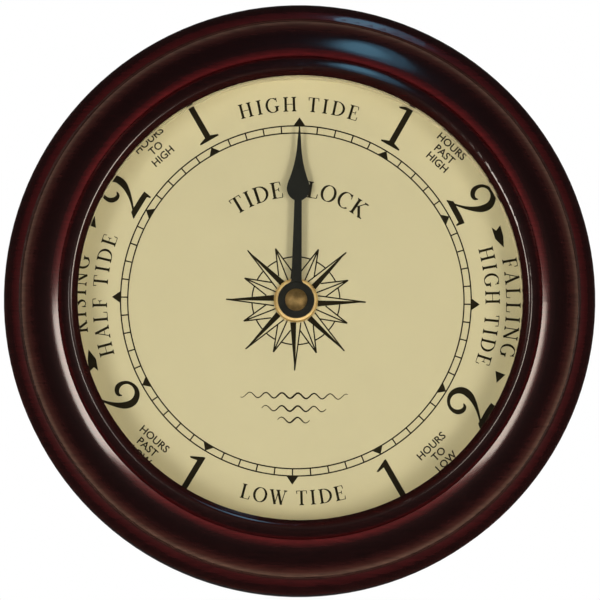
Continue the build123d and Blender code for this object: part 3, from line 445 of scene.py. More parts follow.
turned_brass = turned_metal(
    "yellow_brass", bright=(1.0, 0.76, 0.38), dull=(0.8, 0.56, 0.26), roughness=0.5
)
dull_brass = turned_metal(
    "dull_brass", bright=(0.34, 0.23, 0.10), dull=(0.18, 0.12, 0.05), roughness=0.55
)
plate_brass = strip_metal(
    "stamped_brass",
    bright=(0.72, 0.50, 0.21),
    dull=(0.45, 0.30, 0.13),
    roughness=0.34,
    stretch=(1, 1, 6),
)
steel = strip_metal(
    "bright_steel", bright=(0.62, 0.62, 0.61), dull=(0.48, 0.48, 0.47), roughness=0.25
)
iron = strip_metal(
    "soft_iron",
    bright=(0.46, 0.46, 0.45),
    dull=(0.33, 0.33, 0.33),
    roughness=0.45,
    stretch=(1, 1, 5),
)
nickel = strip_metal(
    "nickel_strip",
    bright=(0.68, 0.67, 0.62),
    dull=(0.55, 0.54, 0.50),
    roughness=0.22,
    stretch=(6, 1, 1),
)
can = strip_metal(
    "plated_can",
    bright=(0.66, 0.66, 0.63),
    dull=(0.55, 0.55, 0.53),
    roughness=0.16,
    stretch=(1, 1, 4),
)
for metal in (turned_brass, dull_brass, plate_brass, steel, iron, nickel, can):
    print("metal:", metal.name)

# %% [markdown]
# ## Moulded plastic and the small materials inside
# The movement's case is black plastic from a spark-eroded mould, which leaves an even, fine
# grain. Its wheels are white and satin. Rubber, ferrite, wire, board and resin are seen only
# with the cover off, yet each keeps its own finish.


# %% Plastics and inner materials
def moulded(name, colour, roughness, grain_scale, relief, sheen=0.0):
    """Moulded surface with an even fine grain and slight flow marks."""
    plastic = Finish(name)
    low, high = shades(colour, change=0.1)
    grain = plastic.mottle(plastic.place, grain_scale, detail=2, rough=0.6)
    flow = plastic.mottle(plastic.centred((0, 0, 0), (1, 1, 0.4)), scale=45)
    plastic.coat(
        Base_Color=plastic.ramp(flow, [(0.3, low), (0.7, high)]),
        Roughness=plastic.around(roughness, grain, swing=0.14),
        Sheen_Weight=sheen,
        Normal=plastic.bump(grain, relief, distance=0.06 * MM),
    )
    return plastic.material


case_black = moulded(
    "black_plastic", (0.022, 0.022, 0.024), roughness=0.5, grain_scale=2600, relief=0.5
)
wheel_white = moulded(
    "white_plastic", (0.76, 0.75, 0.70), roughness=0.42, grain_scale=1500, relief=0.1
)
rubber = moulded(
    "soft_rubber", (0.018, 0.018, 0.018), roughness=0.8, grain_scale=1200, relief=0.4, sheen=0.3
)
ferrite = moulded(
    "dark_ferrite", (0.05, 0.05, 0.055), roughness=0.55, grain_scale=4000, relief=0.3
)
resin = moulded(
    "black_resin", (0.008, 0.008, 0.009), roughness=0.16, grain_scale=300, relief=0.1
)
for plastic in (case_black, wheel_white, rubber, ferrite, resin):
    print("moulded:", plastic.name)

# %% [markdown]
# The coil is one solid in the model. Real windings show as fine even ridges across it, so a
# wave along the coil's length gives the wires. The same wave darkens the copper in the grooves
# between the turns: that is painted shade. The circuit board has copper tracks under its
# green mask, drawn here as a coarse pattern of two greens over the faint relief of the board.

# %% Windings with painted groove shade, and board
winding = Finish("copper_wire")
turns_and_shade = winding.node(
    "ShaderNodeTexWave",
    {"wave_type": "BANDS", "bands_direction": "X"},
    {"Vector": winding.place, "Scale": 1300.0, "Distortion": 0.3},
)
winding.coat(
    # Darker where the wave dips: painted shade in the grooves between the turns.
    Base_Color=winding.ramp(turns_and_shade, [(0.1, (0.16, 0.045, 0.018)), (0.7, (0.62, 0.24, 0.09))]),
    Metallic=0.6,
    Roughness=0.32,
    Normal=winding.bump(turns_and_shade, strength=0.6, distance=0.05 * MM),
)

board = Finish("board_laminate")
tracks = board.node(
    "ShaderNodeTexBrick",
    {"offset": 0.5},
    {
        "Vector": board.centred(dial_axis),
        "Scale": 260.0,
        "Mortar Size": 0.03,
        "Color1": (0.02, 0.1, 0.045, 1),
        "Color2": (0.035, 0.16, 0.07, 1),
        "Mortar": (0.015, 0.07, 0.03, 1),
    },
)
weave = board.mottle(board.place, scale=900, detail=2)
board.coat(
    Base_Color=tracks,
    Roughness=0.3,
    Normal=board.bump(weave, strength=0.15, distance=0.04 * MM),
)
print("winding and board done")

# %% [markdown]
# The battery wears a printed plastic sleeve. It is left without words, in plain bands of colour
# across its length, with bare metal at the two ends.

# %% Battery sleeve
BARE_METAL = (0.60, 0.60, 0.58)
BLUE = (0.03, 0.09, 0.2)
SILVER = (0.62, 0.62, 0.6)

cell_low, cell_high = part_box("battery")
cell_length = cell_high.x - cell_low.x
sleeve = Finish("cell_jacket")
along = sleeve.node(
    "ShaderNodeSeparateXYZ",
    inputs={0: sleeve.centred((cell_low.x, 0, 0), (1 / cell_length, 1, 1))},
    out="X",
)
bands = sleeve.ramp(
    along,
    [
        (0.0, BARE_METAL),
        (0.012, BLUE),
        (0.30, SILVER),
        (0.325, BLUE),
        (0.36, SILVER),
        (0.385, BLUE),
        (0.965, BARE_METAL),
    ],
    between="CONSTANT",
)
scuffs = sleeve.mottle(sleeve.place, scale=260, detail=5, rough=0.7)
sleeve.coat(
    Base_Color=bands,
    Roughness=sleeve.around(0.3, scuffs, swing=0.2),
    Normal=sleeve.bump(scuffs, strength=0.06, distance=0.05 * MM),
)
print("sleeve spans", round(cell_length / MM, 1), "mm")

# %% [markdown]
# ## Dressing the model
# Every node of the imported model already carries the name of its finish. Each name is exchanged
# here for the material made above, and the meshes stay as they are. Only the cap in the hub gets
# another brass than its name says: it's far duller than the nut.

# %% Give each node its finish
FINISHES = {
    "dark_lacquer": lacquer.material,
    "clear_glass": glass.material,
    "cream_print": cream,
    "cream_ring": ring_cream,
    "black_enamel": hand_black,
    "yellow_brass": turned_brass,
    "stamped_brass": plate_brass,
    "black_plastic": case_black,
    "white_plastic": wheel_white,
    "bright_steel": steel,
    "soft_rubber": rubber,
    "dark_ferrite": ferrite,
    "soft_iron": iron,
    "copper_wire": winding.material,
    "board_laminate": board.material,
    "black_resin": resin,
    "plated_can": can,
    "nickel_strip": nickel,
    "cell_jacket": sleeve.material,
}
slot_of = {row["node"]: row["material_slot"] for row in frame["record"]["subparts"]}
for node_name, obj in nodes.items():
    for holder in obj.material_slots:
        holder.material = FINISHES[slot_of[node_name]]
nodes["hand_cap"].material_slots[0].material = dull_brass
print(len(slot_of), "nodes dressed in", len(set(slot_of.values())), "finishes")

# %% [markdown]
# ## Printing the dial
# The print is drawn as thin raised ink, one flat mesh for each group of marks. A mark is a
# polygon on the dial, in millimetres from the dial's axis, with Y up. Operators that push and
# pull a primitive can't give lettering, so the polygons are worked out and then thickened.
# Where two marks cross, level faces would flicker, so each mark has its own tiny height.

# %% Lay polygons on the dial as ink
INK_THICKNESS = 0.03
INK_UNEVENNESS = 0.01
GOLDEN_SHARE = 0.618034


def deselect():
    """Clear the selection, because an operator acts on all that is selected."""
    for obj in bpy.context.selected_objects:
        obj.select_set(False)


def printed(name, polygons, body, material, place):
    """Make polygons a thin solid. place turns a drawn point into a point of the model."""
    mesh = bpy.data.meshes.new(name)
    points = []
    faces = []
    for index, polygon in enumerate(polygons):
        turn = sum(
            a[0] * b[1] - b[0] * a[1] for a, b in zip(polygon, polygon[1:] + polygon[:1])
        )
        ordered = polygon if turn > 0 else polygon[::-1]
        faces.append(tuple(range(len(points), len(points) + len(ordered))))
        lift = index * GOLDEN_SHARE % 1 * INK_UNEVENNESS
        points += [place(x, y, lift) for x, y in ordered]
    mesh.from_pydata(points, [], faces)
    mesh.materials.append(material)
    piece = bpy.data.objects.new(name, mesh)
    bpy.context.scene.collection.objects.link(piece)
    deselect()
    piece.select_set(True)
    bpy.context.view_layer.objects.active = piece
    solid = piece.modifiers.new("thickness", "SOLIDIFY")
    solid.thickness = INK_THICKNESS * MM
    solid.offset = 1.0
    bpy.ops.object.modifier_apply(modifier=solid.name)
    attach(piece, body)
    return piece


def on_dial(x, y, lift):
    """A drawn point on the face of the dial, or a little in front of it."""
    return (dial_axis.x + x * MM, dial_face - lift * MM, dial_axis.z + y * MM)


def print_on_dial(name, polygons):
    piece = printed(name, polygons, "clock_body", ink, on_dial)
    print(name, "has", len(polygons), "marks")
    return piece


# %% [markdown]
# ## Lines and strokes
# A line of ink is a row of four-sided polygons along a path. Its half width comes from a rule:
# fixed for a ruled line, or from the angle of a broad pen for lettering, wide on uprights and
# thin on crossbars. The same helpers draw every line on the dial.

# %% Paths and strokes
STEM = 0.075
THIN = 0.028
HAIR = 0.022
SERIF_EDGE = 0.035
SERIF_RISE = 2.6


def arc(cx, cy, rx, ry, start, end, steps=14):
    """Points along part of an ellipse, angles in degrees."""
    return [
        (
            cx + rx * cos(radians(start + (end - start) * n / steps)),
            cy + ry * sin(radians(start + (end - start) * n / steps)),
        )
        for n in range(steps + 1)
    ]


def eased(points, steps=6):
    """A smooth path through the given points, with so many steps from each to the next."""
    out = []
    padded = [points[0]] + list(points) + [points[-1]]
    for before, here, ahead, beyond in zip(padded, padded[1:], padded[2:], padded[3:]):
        for n in range(steps):
            t = n / steps
            out.append(
                tuple(
                    0.5
                    * (
                        2 * q
                        + (r - p) * t
                        + (2 * p - 5 * q + 4 * r - s) * t**2
                        + (3 * q - p - 3 * r + s) * t**3
                    )
                    for p, q, r, s in zip(before, here, ahead, beyond)
                )
            )
    return out + [tuple(points[-1])]


def stroke(path, half=None):
    """Polygons along a path. half is a fixed half width, or each point gives its own."""
    sides = []
    for n, point in enumerate(path):
        a = path[max(n - 1, 0)]
        b = path[min(n + 1, len(path) - 1)]
        length = hypot(b[0] - a[0], b[1] - a[1]) or 1.0
        nx, ny = -(b[1] - a[1]) / length, (b[0] - a[0]) / length
        width = half or (point[2] if len(point) > 2 else hypot(STEM * nx, HAIR * ny))
        sides.append(
            (
                (point[0] + nx * width, point[1] + ny * width),
                (point[0] - nx * width, point[1] - ny * width),
            )
        )
    return [[a[0], b[0], b[1], a[1]] for a, b in zip(sides, sides[1:])]


def serif(x, y, up, half=0.15):
    """The foot or head of an upright: a thin bar, thicker at its middle."""
    edge = SERIF_EDGE * up
    return [
        [
            (x - half, y),
            (x + half, y),
            (x + half, y + edge),
            (x + STEM, y + SERIF_RISE * edge),
            (x - STEM, y + SERIF_RISE * edge),
            (x - half, y + edge),
        ]
    ]


def upright(x):
    """A stem with a serif at both ends."""
    return stroke([(x, 0), (x, 1)], STEM) + serif(x, 0, 1) + serif(x, 1, -1)


print("strokes ready: stem", STEM, "thin", THIN, "hair", HAIR)

# %% [markdown]
# ## The letters
# The dial's words are the plain ones of its kind: high tide, low tide and so on, in an old book
# face. No font file may be read, so each capital is drawn with the pen: one unit high, with
# stems, bowls and serifs. Only the capitals that the words need are drawn. Each function gives
# the letter's width and its polygons.


# %% Capitals A to I
LEFT = 0.19
BAR_START = 0.18
TOP = 0.978
FOOT = 0.022
DROP_HALF = 0.03


def crossbar(x_from, x_to, y):
    return stroke([(x_from, y), (x_to, y)], HAIR)


def drop(x, y, down):
    """Small upright stroke at the end of an arm, leaning a little outwards."""
    return [
        [
            (x - DROP_HALF, y),
            (x + DROP_HALF, y),
            (x + DROP_HALF * 1.6, y + down),
            (x + DROP_HALF * 0.2, y + down),
        ]
    ]


def arms(*ends):
    """Crossbars from the stem, each with its end stroke."""
    out = []
    for x, y, down in ends:
        out += crossbar(BAR_START, x, y) + drop(x, y, down)
    return out


def letter_a():
    left = stroke([(0.11, 0.0), (0.40, 1.0)], THIN)
    right = stroke([(0.37, 1.0), (0.66, 0.0)], STEM)
    feet = serif(0.11, 0, 1, 0.12) + serif(0.67, 0, 1, 0.14)
    return 0.78, left + right + crossbar(0.2, 0.56, 0.35) + feet


def letter_c():
    bowl = stroke(arc(0.44, 0.5, 0.36, 0.49, 48, 308, 22))
    return 0.76, bowl + drop(0.67, 1.0, -0.30)


def letter_d():
    bowl = stroke(arc(0.30, 0.5, 0.46, 0.478, 90, -90, 18))
    bars = crossbar(BAR_START, 0.31, TOP) + crossbar(BAR_START, 0.31, FOOT)
    return 0.84, upright(LEFT) + bowl + bars


def letter_e():
    ends = arms((0.56, TOP, -0.22), (0.61, FOOT, 0.24), (0.45, 0.52, 0.12))
    return 0.68, upright(LEFT) + ends + drop(0.45, 0.52, -0.12)


def letter_f():
    ends = arms((0.56, TOP, -0.22), (0.44, 0.5, 0.12))
    return 0.62, upright(LEFT) + ends + drop(0.44, 0.5, -0.12)


def letter_g():
    bowl = stroke(arc(0.44, 0.5, 0.36, 0.49, 48, 312, 22))
    spur = stroke([(0.69, 0.08), (0.69, 0.42)], STEM) + serif(0.70, 0.43, -1, 0.14)
    return 0.86, bowl + drop(0.68, 1.0, -0.28) + spur


def letter_h():
    return 0.90, upright(LEFT) + upright(0.70) + crossbar(LEFT, 0.70, 0.5)


def letter_i():
    return 0.40, upright(0.20)


CAPITALS = {" ": (0.26, [])}
CAPITALS.update(A=letter_a(), C=letter_c(), D=letter_d(), E=letter_e())
CAPITALS.update(F=letter_f(), G=letter_g(), H=letter_h(), I=letter_i())
print("drawn so far:", *CAPITALS)


# %% Capitals K to W
def letter_k():
    arm = stroke([(0.63, 0.99), (0.22, 0.44)], THIN) + serif(0.64, 1, -1, 0.13)
    leg = stroke([(0.34, 0.58), (0.68, 0.0)], STEM) + serif(0.69, 0, 1, 0.14)
    return 0.82, upright(LEFT) + arm + leg


def letter_l():
    return 0.66, upright(LEFT) + arms((0.59, FOOT, 0.26))


def letter_n():
    thin = stroke([(0.15, 0), (0.15, 1)], 0.03) + stroke([(0.71, 0), (0.71, 1)], 0.03)
    slope = stroke([(0.13, 0.99), (0.71, 0.01)], STEM)
    left = serif(0.12, 1, -1, 0.10) + serif(0.15, 0, 1, 0.12)
    return 0.86, thin + slope + left + serif(0.71, 1, -1, 0.12)


def letter_o():
    return 0.88, stroke(arc(0.44, 0.5, 0.36, 0.49, 0, 360, 30))


def letter_r():
    bowl = stroke(arc(0.34, 0.745, 0.22, 0.235, 90, -90, 12))
    bars = crossbar(LEFT, 0.35, TOP) + crossbar(LEFT, 0.37, 0.51)
    leg = stroke([(0.38, 0.52), (0.66, 0.0)], STEM) + serif(0.69, 0, 1, 0.11)
    return 0.78, upright(LEFT) + bowl + bars + leg


def letter_s():
    spine = [
        (0.47, 0.80, 0.030),
        (0.41, 0.93, 0.026),
        (0.28, 0.975, 0.026),
        (0.15, 0.90, 0.045),
        (0.12, 0.75, 0.066),
        (0.22, 0.60, 0.078),
        (0.37, 0.47, 0.082),
        (0.47, 0.32, 0.074),
        (0.45, 0.13, 0.052),
        (0.31, 0.025, 0.028),
        (0.17, 0.06, 0.026),
        (0.09, 0.22, 0.030),
    ]
    ends = drop(0.47, 1.0, -0.24) + drop(0.09, 0.0, 0.28)
    return 0.60, stroke(eased(spine, 3)) + ends


def letter_t():
    stem = stroke([(0.36, 0), (0.36, 1)], STEM) + serif(0.36, 0, 1)
    bar = crossbar(0.05, 0.67, TOP) + drop(0.06, 0.99, -0.22) + drop(0.66, 0.99, -0.22)
    return 0.72, stem + bar


def letter_w():
    first = stroke([(0.12, 1), (0.37, 0)], STEM) + stroke([(0.36, 0), (0.55, 0.98)], THIN)
    second = stroke([(0.50, 1), (0.76, 0)], STEM) + stroke([(0.75, 0), (0.95, 0.98)], THIN)
    heads = serif(0.12, 1, -1, 0.13) + serif(0.52, 1, -1, 0.13) + serif(0.96, 1, -1, 0.11)
    return 1.08, first + second + heads


CAPITALS.update(K=letter_k(), L=letter_l(), N=letter_n(), O=letter_o())
CAPITALS.update(R=letter_r(), S=letter_s(), T=letter_t(), W=letter_w())
print(len(CAPITALS) - 1, "capitals drawn")


# %% [markdown]
# ## Words on a circle
# A word follows a circle round the dial. Each letter stands on the circle at its own bearing,
# counted clockwise from the top. On the upper part the letters point outwards, and at the
# bottom they point inwards so that the word still reads from left to right.


# %% Set letters round the dial
LETTER_WIDTH = 1.12
WORD_HEIGHT = 4.08
TITLE_HEIGHT = 4.6


def stand(polygons, bearing, radius, tilt, size=1.0, shift=0.0):
    """Move polygons to a bearing and radius, turned clockwise by tilt.

    They are first moved left by shift and then made size times as large.
    """
    b, t = radians(bearing), radians(tilt)
    out = []
    for polygon in polygons:
        moved = []
        for x, y in polygon:
            x, y = (x - shift) * size, y * size
            moved.append(
                (
                    radius * sin(b) + x * cos(t) + y * sin(t),
                    radius * cos(b) - x * sin(t) + y * cos(t),
                )
            )
        out.append(moved)
    return out


def word_on_circle(word, bearing, radius, size, spacing, inward=False):
    """A word centred on a bearing, standing on a circle."""
    way = -1 if inward else 1
    widths = [CAPITALS[letter][0] * LETTER_WIDTH + spacing for letter in word]
    start = -sum(widths) / 2
    out = []
    for letter, width in zip(word, widths):
        at = bearing + way * degrees((start + width / 2) * size / radius)
        tilt = at + 180 if inward else at
        wide = [[(x * LETTER_WIDTH, y) for x, y in mark] for mark in CAPITALS[letter][1]]
        out += stand(wide, at, radius, tilt, size, (width - spacing) / 2)
        start += width
    return out


words = []
for word, bearing, radius, spacing, inward in (
    ("HIGH TIDE", -0.3, 53.1, 0.176, False),
    ("LOW TIDE", 179.8, 57.2, 0.183, True),
    ("HALF TIDE", 270.37, 52.8, 0.205, False),
    ("HIGH TIDE", 90.4, 53.0, 0.162, False),
    ("RISING", 270.54, 58.7, 0.183, False),
    ("FALLING", 90.7, 58.8, 0.216, False),
):
    words += word_on_circle(word, bearing, radius, WORD_HEIGHT, spacing, inward)
print_on_dial("tide_words", words)
title = word_on_circle("TIDE CLOCK", bearing=0.65, radius=29.1, size=TITLE_HEIGHT, spacing=0.055)
print_on_dial("dial_title", title)

# %% [markdown]
# ## The numerals
# The numbers count the hours from high or low water. They are tall old-style figures: a
# plain one with a flag and a foot, and a two whose bowl swells at its right side.

# %% Figures one and two
ONE_STEM = 0.27
TWO_MIDDLE = 0.32
figure_one = stroke([(ONE_STEM, 0.0), (ONE_STEM, 0.95)], 0.066)
flag = [(0.02, 0.86), (0.05, 0.83), (0.20, 0.86), (0.336, 0.78), (0.336, 1.0), (0.30, 1.0)]
figure_one += [flag] + serif(ONE_STEM, 0, 1, 0.23)
two_path = [
    (0.355, 0.610, 0.010),
    (0.300, 0.550, 0.036),
    (0.210, 0.555, 0.050),
    (0.132, 0.630, 0.054),
    (0.115, 0.740, 0.042),
    (0.160, 0.855, 0.034),
    (0.270, 0.935, 0.038),
    (0.415, 0.945, 0.052),
    (0.535, 0.870, 0.066),
    (0.600, 0.740, 0.078),
    (0.580, 0.580, 0.076),
    (0.495, 0.425, 0.054),
    (0.355, 0.260, 0.032),
    (0.180, 0.105, 0.020),
    (0.030, 0.000, 0.014),
]
foot = [
    (0.0, 0.0),
    (0.565, -0.03),
    (0.585, -0.105),
    (0.615, -0.105),
    (0.65, 0.08),
    (0.47, 0.105),
    (0.11, 0.12),
]
figure_two = stroke(eased(two_path)) + [foot]
FIGURES = {"1": (figure_one, ONE_STEM), "2": (figure_two, TWO_MIDDLE)}

NUMERAL_HEIGHT = 12.7
numerals = []
for figure, bearing, radius, tilt in (
    ("1", 30.0, 50.8, 28.5),
    ("2", 59.5, 50.7, 57.5),
    ("2", 120.3, 62.7, 296.5),
    ("1", 150.0, 63.6, 329.0),
    ("1", 209.7, 63.4, 30.0),
    ("2", 240.8, 63.1, 62.0),
    ("2", 300.1, 50.9, 297.3),
    ("1", 330.6, 51.0, 329.0),
):
    polygons, centre = FIGURES[figure]
    numerals += stand(polygons, bearing, radius, tilt, NUMERAL_HEIGHT, centre)
print_on_dial("tide_numerals", numerals)

# %% [markdown]
# ## Scale ring
# Two fine circles with a short line between them at each sixtieth, and a black triangle at each
# twelfth. Those at the quarters stand outside the ring, and the others within it, in place of
# a line.

# %% Ring, ticks and triangles
RING_OUTER = 49.04
RING_INNER = 47.02
LINE = 0.19
TRIANGLE_HALF = 1.7
TRIANGLE_TALL = 2.4


def circle(radius):
    return arc(0, 0, radius, radius, 0, 360, 180)


def outwards(bearing, radius, side=0.0):
    """Point at a bearing and radius, stepped sideways clockwise."""
    b = radians(bearing)
    return (radius * sin(b) + side * cos(b), radius * cos(b) - side * sin(b))


ring = stroke(circle(RING_OUTER), LINE) + stroke(circle(RING_INNER), LINE)
for minute in range(60):
    bearing = minute * 6
    if minute % 5:
        ring += stroke([outwards(bearing, RING_INNER), outwards(bearing, RING_OUTER)], LINE)
for twelfth in range(12):
    bearing = twelfth * 30
    quarter = twelfth % 3 == 0
    base, tip = (RING_OUTER, RING_OUTER + TRIANGLE_TALL) if quarter else (RING_INNER, RING_OUTER)
    ring.append(
        [
            outwards(bearing, base, -TRIANGLE_HALF),
            outwards(bearing, base, TRIANGLE_HALF),
            outwards(bearing, tip),
        ]
    )
    if quarter:
        ring += stroke([outwards(bearing, RING_INNER), outwards(bearing, RING_OUTER)], LINE)
print_on_dial("scale_ring", ring)

# %% [markdown]
# ## Compass rose
# A traditional sixteen-point rose surrounds the nut: eight long points, each black on its
# clockwise half, eight short ones in outline, and a circle that shows only between them.

# %% Compass rose
LONG_TIP = 19.55
LONG_ROOT = 6.1
LONG_HALF = 1.5
ROSE_LINE = 0.19
SHORT_TIP = 15.7
CORNER_RADIUS = 8.4
CORNER_ANGLE = 13.6
ROSE_CIRCLE = 12.3
ROSE_GAP_START = 4.4
ROSE_GAP_END = 18.6
rose = []
for n in range(8):
    bearing = 45 * n
    tip = outwards(bearing, LONG_TIP)
    rose.append([outwards(bearing, LONG_ROOT), tip, outwards(bearing, LONG_ROOT, LONG_HALF)])
    rose += stroke([outwards(bearing, LONG_ROOT, -LONG_HALF), tip], ROSE_LINE)
    rose += stroke([outwards(bearing, LONG_ROOT), tip], ROSE_LINE)
    half = bearing + 22.5
    tip = outwards(half, SHORT_TIP)
    rose += stroke([outwards(half, LONG_ROOT), tip], ROSE_LINE)
    for side in (-1, 1):
        rose += stroke([outwards(half + side * CORNER_ANGLE, CORNER_RADIUS), tip], ROSE_LINE)
        start = 90 - half - side * ROSE_GAP_START
        end = 90 - half - side * ROSE_GAP_END
        rose += stroke(arc(0, 0, ROSE_CIRCLE, ROSE_CIRCLE, start, end, 6), ROSE_LINE)
print_on_dial("compass_rose", rose)

# %% [markdown]
# ## Notes, arrows and a wave
# Small plain capitals at the diagonals say from which tide the hours count. Blender's own
# letters suit them: a text object is made a mesh and its faces become marks. Beside
# the outer words lie the feathers and the tips of two arrows that run with the tide.


# %% Small notes at the diagonals
CAPITAL_SHARE = 0.72
BOLDER = 0.05


def plain_words(text, height):
    """Polygons of a line of plain capitals, centred, from a text object."""
    curve = bpy.data.curves.new("note", "FONT")
    curve.body = text
    curve.size = height / CAPITAL_SHARE
    curve.offset = BOLDER
    curve.align_x = "CENTER"
    curve.align_y = "CENTER"
    curve.resolution_u = 3
    holder = bpy.data.objects.new("note", curve)
    bpy.context.scene.collection.objects.link(holder)
    bpy.context.view_layer.update()
    mesh = bpy.data.meshes.new_from_object(holder)
    marks = [[tuple(mesh.vertices[v].co[:2]) for v in face.vertices] for face in mesh.polygons]
    bpy.data.objects.remove(holder)
    bpy.data.curves.remove(curve)
    bpy.data.meshes.remove(mesh)
    return marks


NOTE_HEIGHT = 2.15
NOTE_PITCH = 3.0
notes = []
for lines, bearing, radius, tilt in (
    (("HOURS", "PAST", "HIGH"), 44.2, 58.4, 41.0),
    (("HOURS", "TO", "LOW"), 135.9, 58.6, 315.0),
    (("HOURS", "PAST", "LOW"), 224.2, 58.4, 40.0),
    (("HOURS", "TO", "HIGH"), 316.3, 57.9, 317.0),
):
    for row, line in enumerate(lines):
        lift = (1 - row) * NOTE_PITCH
        marks = [[(x, y + lift) for x, y in mark] for mark in plain_words(line, NOTE_HEIGHT)]
        notes += stand(marks, bearing, radius, tilt)
print_on_dial("scale_notes", notes)

# %% Tide arrows and the wave
FEATHER = [(-0.2, 3.3), (1.2, 0.2), (1.0, -3.2), (0.1, -1.9), (-1.5, -2.9), (-1.2, 0.3)]
ARROW_TIP = [(-1.5, -1.2), (1.5, -1.2), (0, 1.8)]
arrows = []
for mark, bearing, radius, tilt in (
    (FEATHER, 71.3, 59.6, 158.0),
    (ARROW_TIP, 109.4, 60.6, 200.0),
    (FEATHER, 252.4, 59.4, 345.0),
    (ARROW_TIP, 290.0, 61.0, 20.0),
):
    arrows += stand([mark], bearing, radius, tilt)
print_on_dial("tide_arrows", arrows)

WAVE_HEIGHT = 0.75
WAVE_PACE = 1.4
WAVE_END = 0.10
WAVE_SWELL = 0.16
WAVE_STEPS = 40
wave = []
for half, lift in ((15.0, -26.6), (9.0, -30.2), (4.5, -33.4)):
    path = []
    for step in range(-WAVE_STEPS, WAVE_STEPS + 1):
        x = step * half / WAVE_STEPS
        width = WAVE_END + WAVE_SWELL * (1 - abs(step) / WAVE_STEPS)
        path.append((x, lift + WAVE_HEIGHT * sin(x * WAVE_PACE), width))
    wave += stroke(path)
print_on_dial("dial_wave", wave)

# %% [markdown]
# ## Marks on the back
# A cover like this has a few marks stamped on it in white: an arrow beside the setting knob, and
# the two signs that say which way round the battery goes in. They are drawn like the print on
# the dial, but for somebody behind the clock.

# %% Setting arrow and battery signs
cover_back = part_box("rear_cover")[1].y
knob_axis = middle("setting_knob")
knob_x = (dial_axis.x - knob_axis.x) / MM
knob_y = (knob_axis.z - dial_axis.z) / MM
ARROW_RADIUS = 7.6
ARROW_START = 215
ARROW_END = 310
ARROW_LINE = 0.35
ARROWHEAD_HALF = 1.1
ARROWHEAD_LONG = 2.0
PLUS_X = -20.5
MINUS_X = 20.5
SIGN_Y = -9.2
SIGN_HALF = 1.5
SIGN_LINE = 0.3


def on_cover(x, y, lift):
    """A drawn point on the cover, with x to the right for somebody behind the clock."""
    return (dial_axis.x - x * MM, cover_back + lift * MM, dial_axis.z + y * MM)


def beside_knob(radius, angle, ahead=0.0):
    """Point round the knob, stepped along the way that the arrow points."""
    a = radians(angle)
    return (knob_x + radius * cos(a) - ahead * sin(a), knob_y + radius * sin(a) + ahead * cos(a))


marks = stroke(arc(knob_x, knob_y, ARROW_RADIUS, ARROW_RADIUS, ARROW_START, ARROW_END), ARROW_LINE)
marks.append(
    [
        beside_knob(ARROW_RADIUS - ARROWHEAD_HALF, ARROW_END),
        beside_knob(ARROW_RADIUS + ARROWHEAD_HALF, ARROW_END),
        beside_knob(ARROW_RADIUS, ARROW_END, ARROWHEAD_LONG),
    ]
)
marks += stroke([(PLUS_X - SIGN_HALF, SIGN_Y), (PLUS_X + SIGN_HALF, SIGN_Y)], SIGN_LINE)
marks += stroke([(PLUS_X, SIGN_Y - SIGN_HALF), (PLUS_X, SIGN_Y + SIGN_HALF)], SIGN_LINE)
marks += stroke([(MINUS_X - SIGN_HALF, SIGN_Y), (MINUS_X + SIGN_HALF, SIGN_Y)], SIGN_LINE)
printed("cover_marks", marks, "clock_body", wheel_white, on_cover)
print("cover_marks has", len(marks), "marks")

# %% [markdown]
# ## Light
# The reflections on the lacquer tell where the lights were. Two soft lamps stand left and right
# of the camera, a little below its level: their shadows fall inwards on the dial from both sides.
# A bluish window high above shows on each crest at the upper right.


# %% Lamps and window
def lamp(name, off_axis, bearing, across, along, power, colour, shape):
    """Area light 1 m from the clock, off the dial's axis towards a clockwise bearing.

    Its side named along points away from the dial's axis, and across goes round that axis.
    The two oval ones are the window, seen in the lacquer but too weak to light the dial.
    """
    off, b = radians(off_axis), radians(bearing)
    way = Vector((sin(off) * sin(b), -cos(off), sin(off) * cos(b)))
    data = bpy.data.lights.new(name, "AREA")
    data.shape = shape
    data.size = across
    data.size_y = along
    data.energy = power
    data.color = colour
    light = bpy.data.objects.new(name, data)
    bpy.context.scene.collection.objects.link(light)
    outward = Vector((cos(off) * sin(b), sin(off), cos(off) * cos(b)))
    turn = Matrix((outward.cross(way), outward, way)).transposed().to_4x4()
    light.matrix_world = Matrix.Translation(aim + way) @ turn
    light.visible_camera = False
    light.visible_diffuse = shape == "RECTANGLE"


for name, off_axis, bearing, across, along, power, colour, shape in (
    ("left_lamp", 24, 254, 0.34, 0.26, 4.2, (1.0, 0.92, 0.82), "RECTANGLE"),
    ("right_lamp", 24, 103, 0.36, 0.26, 4.2, (1.0, 0.90, 0.78), "RECTANGLE"),
    ("window", 58, 15, 0.26, 0.66, 0.8, (0.24, 0.66, 1.0), "ELLIPSE"),
    ("window_middle", 58, 13, 0.14, 0.44, 0.45, (0.30, 0.72, 1.0), "ELLIPSE"),
):
    lamp(name, off_axis, bearing, across, along, power, colour, shape)
    print(name, "shines with", power, "W")

# %% [markdown]
# The room round the clock is one world material. The camera sees white everywhere. Rough
# surfaces get light from the white wall behind the clock and little from in front, with a soft
# border between the two, so that the lamps keep their share. Shiny ones mirror the dark room.

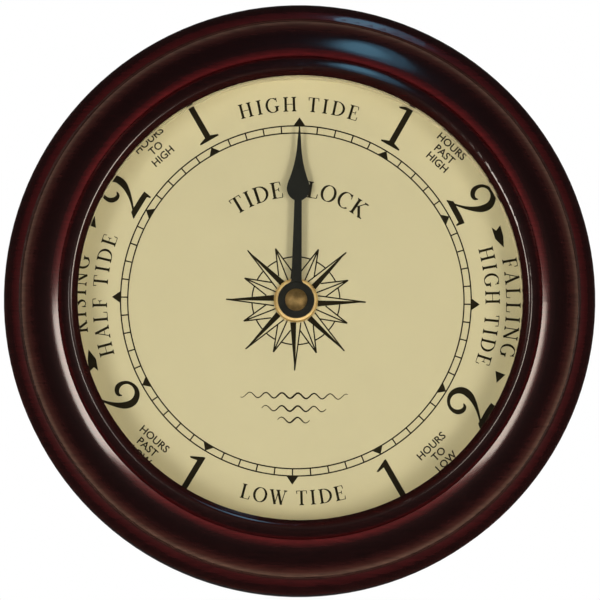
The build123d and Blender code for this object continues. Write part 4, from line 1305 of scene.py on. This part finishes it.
# %% White wall and dark room
MIRRORED_ROOM = 0.03
LIGHT_FROM_FRONT = 0.13
LIGHT_FROM_WALL = 0.95
world = bpy.data.worlds.new("room")
bpy.context.scene.world = world
world.use_nodes = True
room = Network(world.node_tree)
way = room.node("ShaderNodeTexCoord", out="Generated")
behind = room.node("ShaderNodeSeparateXYZ", inputs={0: way}, out="Y")
white_side = room.node(
    "ShaderNodeMapRange",
    {"interpolation_type": "SMOOTHSTEP"},
    {
        "Value": behind,
        "From Min": -0.12,
        "From Max": 0.10,
        "To Min": LIGHT_FROM_FRONT,
        "To Max": LIGHT_FROM_WALL,
    },
)
seen = room.node("ShaderNodeLightPath", out="Is Camera Ray")
spread_out = room.node("ShaderNodeLightPath", out="Is Diffuse Ray")
level = seen + (1 - seen) * (spread_out * white_side + (1 - spread_out) * MIRRORED_ROOM)
background = room.node("ShaderNodeBackground", inputs={"Color": (1, 1, 1, 1), "Strength": level})
room.end(background, "ShaderNodeOutputWorld")
print("the room is ready")

# %% [markdown]
# ## Floor
# The clock hangs, so the floor lies well below it. It is a wide pale plane that fades out
# towards the white room, and from below it is clear, so that it never hides the clock.

# %% Floor
FLOOR_DROP = 0.25
FADE_START = 0.8
FADE_END = 3.6
FLOOR_GLOW = 0.45
deselect()
bpy.ops.mesh.primitive_grid_add(x_subdivisions=8, y_subdivisions=8, size=8, location=(0, 0, 0))
floor = bpy.context.object
floor.name = "floor"
floor.visible_glossy = False
floor.data.transform(Matrix.Translation((0, 0, frame_axis.z - frame_radius - FLOOR_DROP)))
pale = Finish("pale_floor")
distance = pale.distance((0, 0, 0), (1, 1, 0))
fade = pale.node(
    "ShaderNodeMapRange",
    inputs={"Value": distance, "From Min": FADE_START, "From Max": FADE_END},
)
from_below = pale.node("ShaderNodeNewGeometry", out="Backfacing")
hidden = pale.node("ShaderNodeMath", {"operation": "MAXIMUM"}, {0: fade, 1: from_below})
seen = pale.node("ShaderNodeLightPath", out="Is Camera Ray")
matt = pale.node("ShaderNodeBsdfDiffuse", inputs={"Color": (0.82, 0.82, 0.81, 1)})
glow = pale.node(
    "ShaderNodeEmission", inputs={"Color": (1, 1, 1, 1), "Strength": seen * FLOOR_GLOW}
)
surface = pale.node("ShaderNodeAddShader", inputs={0: matt, 1: glow})
nothing = pale.node("ShaderNodeBsdfTransparent")
pale.end(pale.node("ShaderNodeMixShader", inputs={0: hidden, 1: surface, 2: nothing}))
floor.data.materials.append(pale.material)
print("floor at", round(floor.data.vertices[0].co.z, 3), "m")
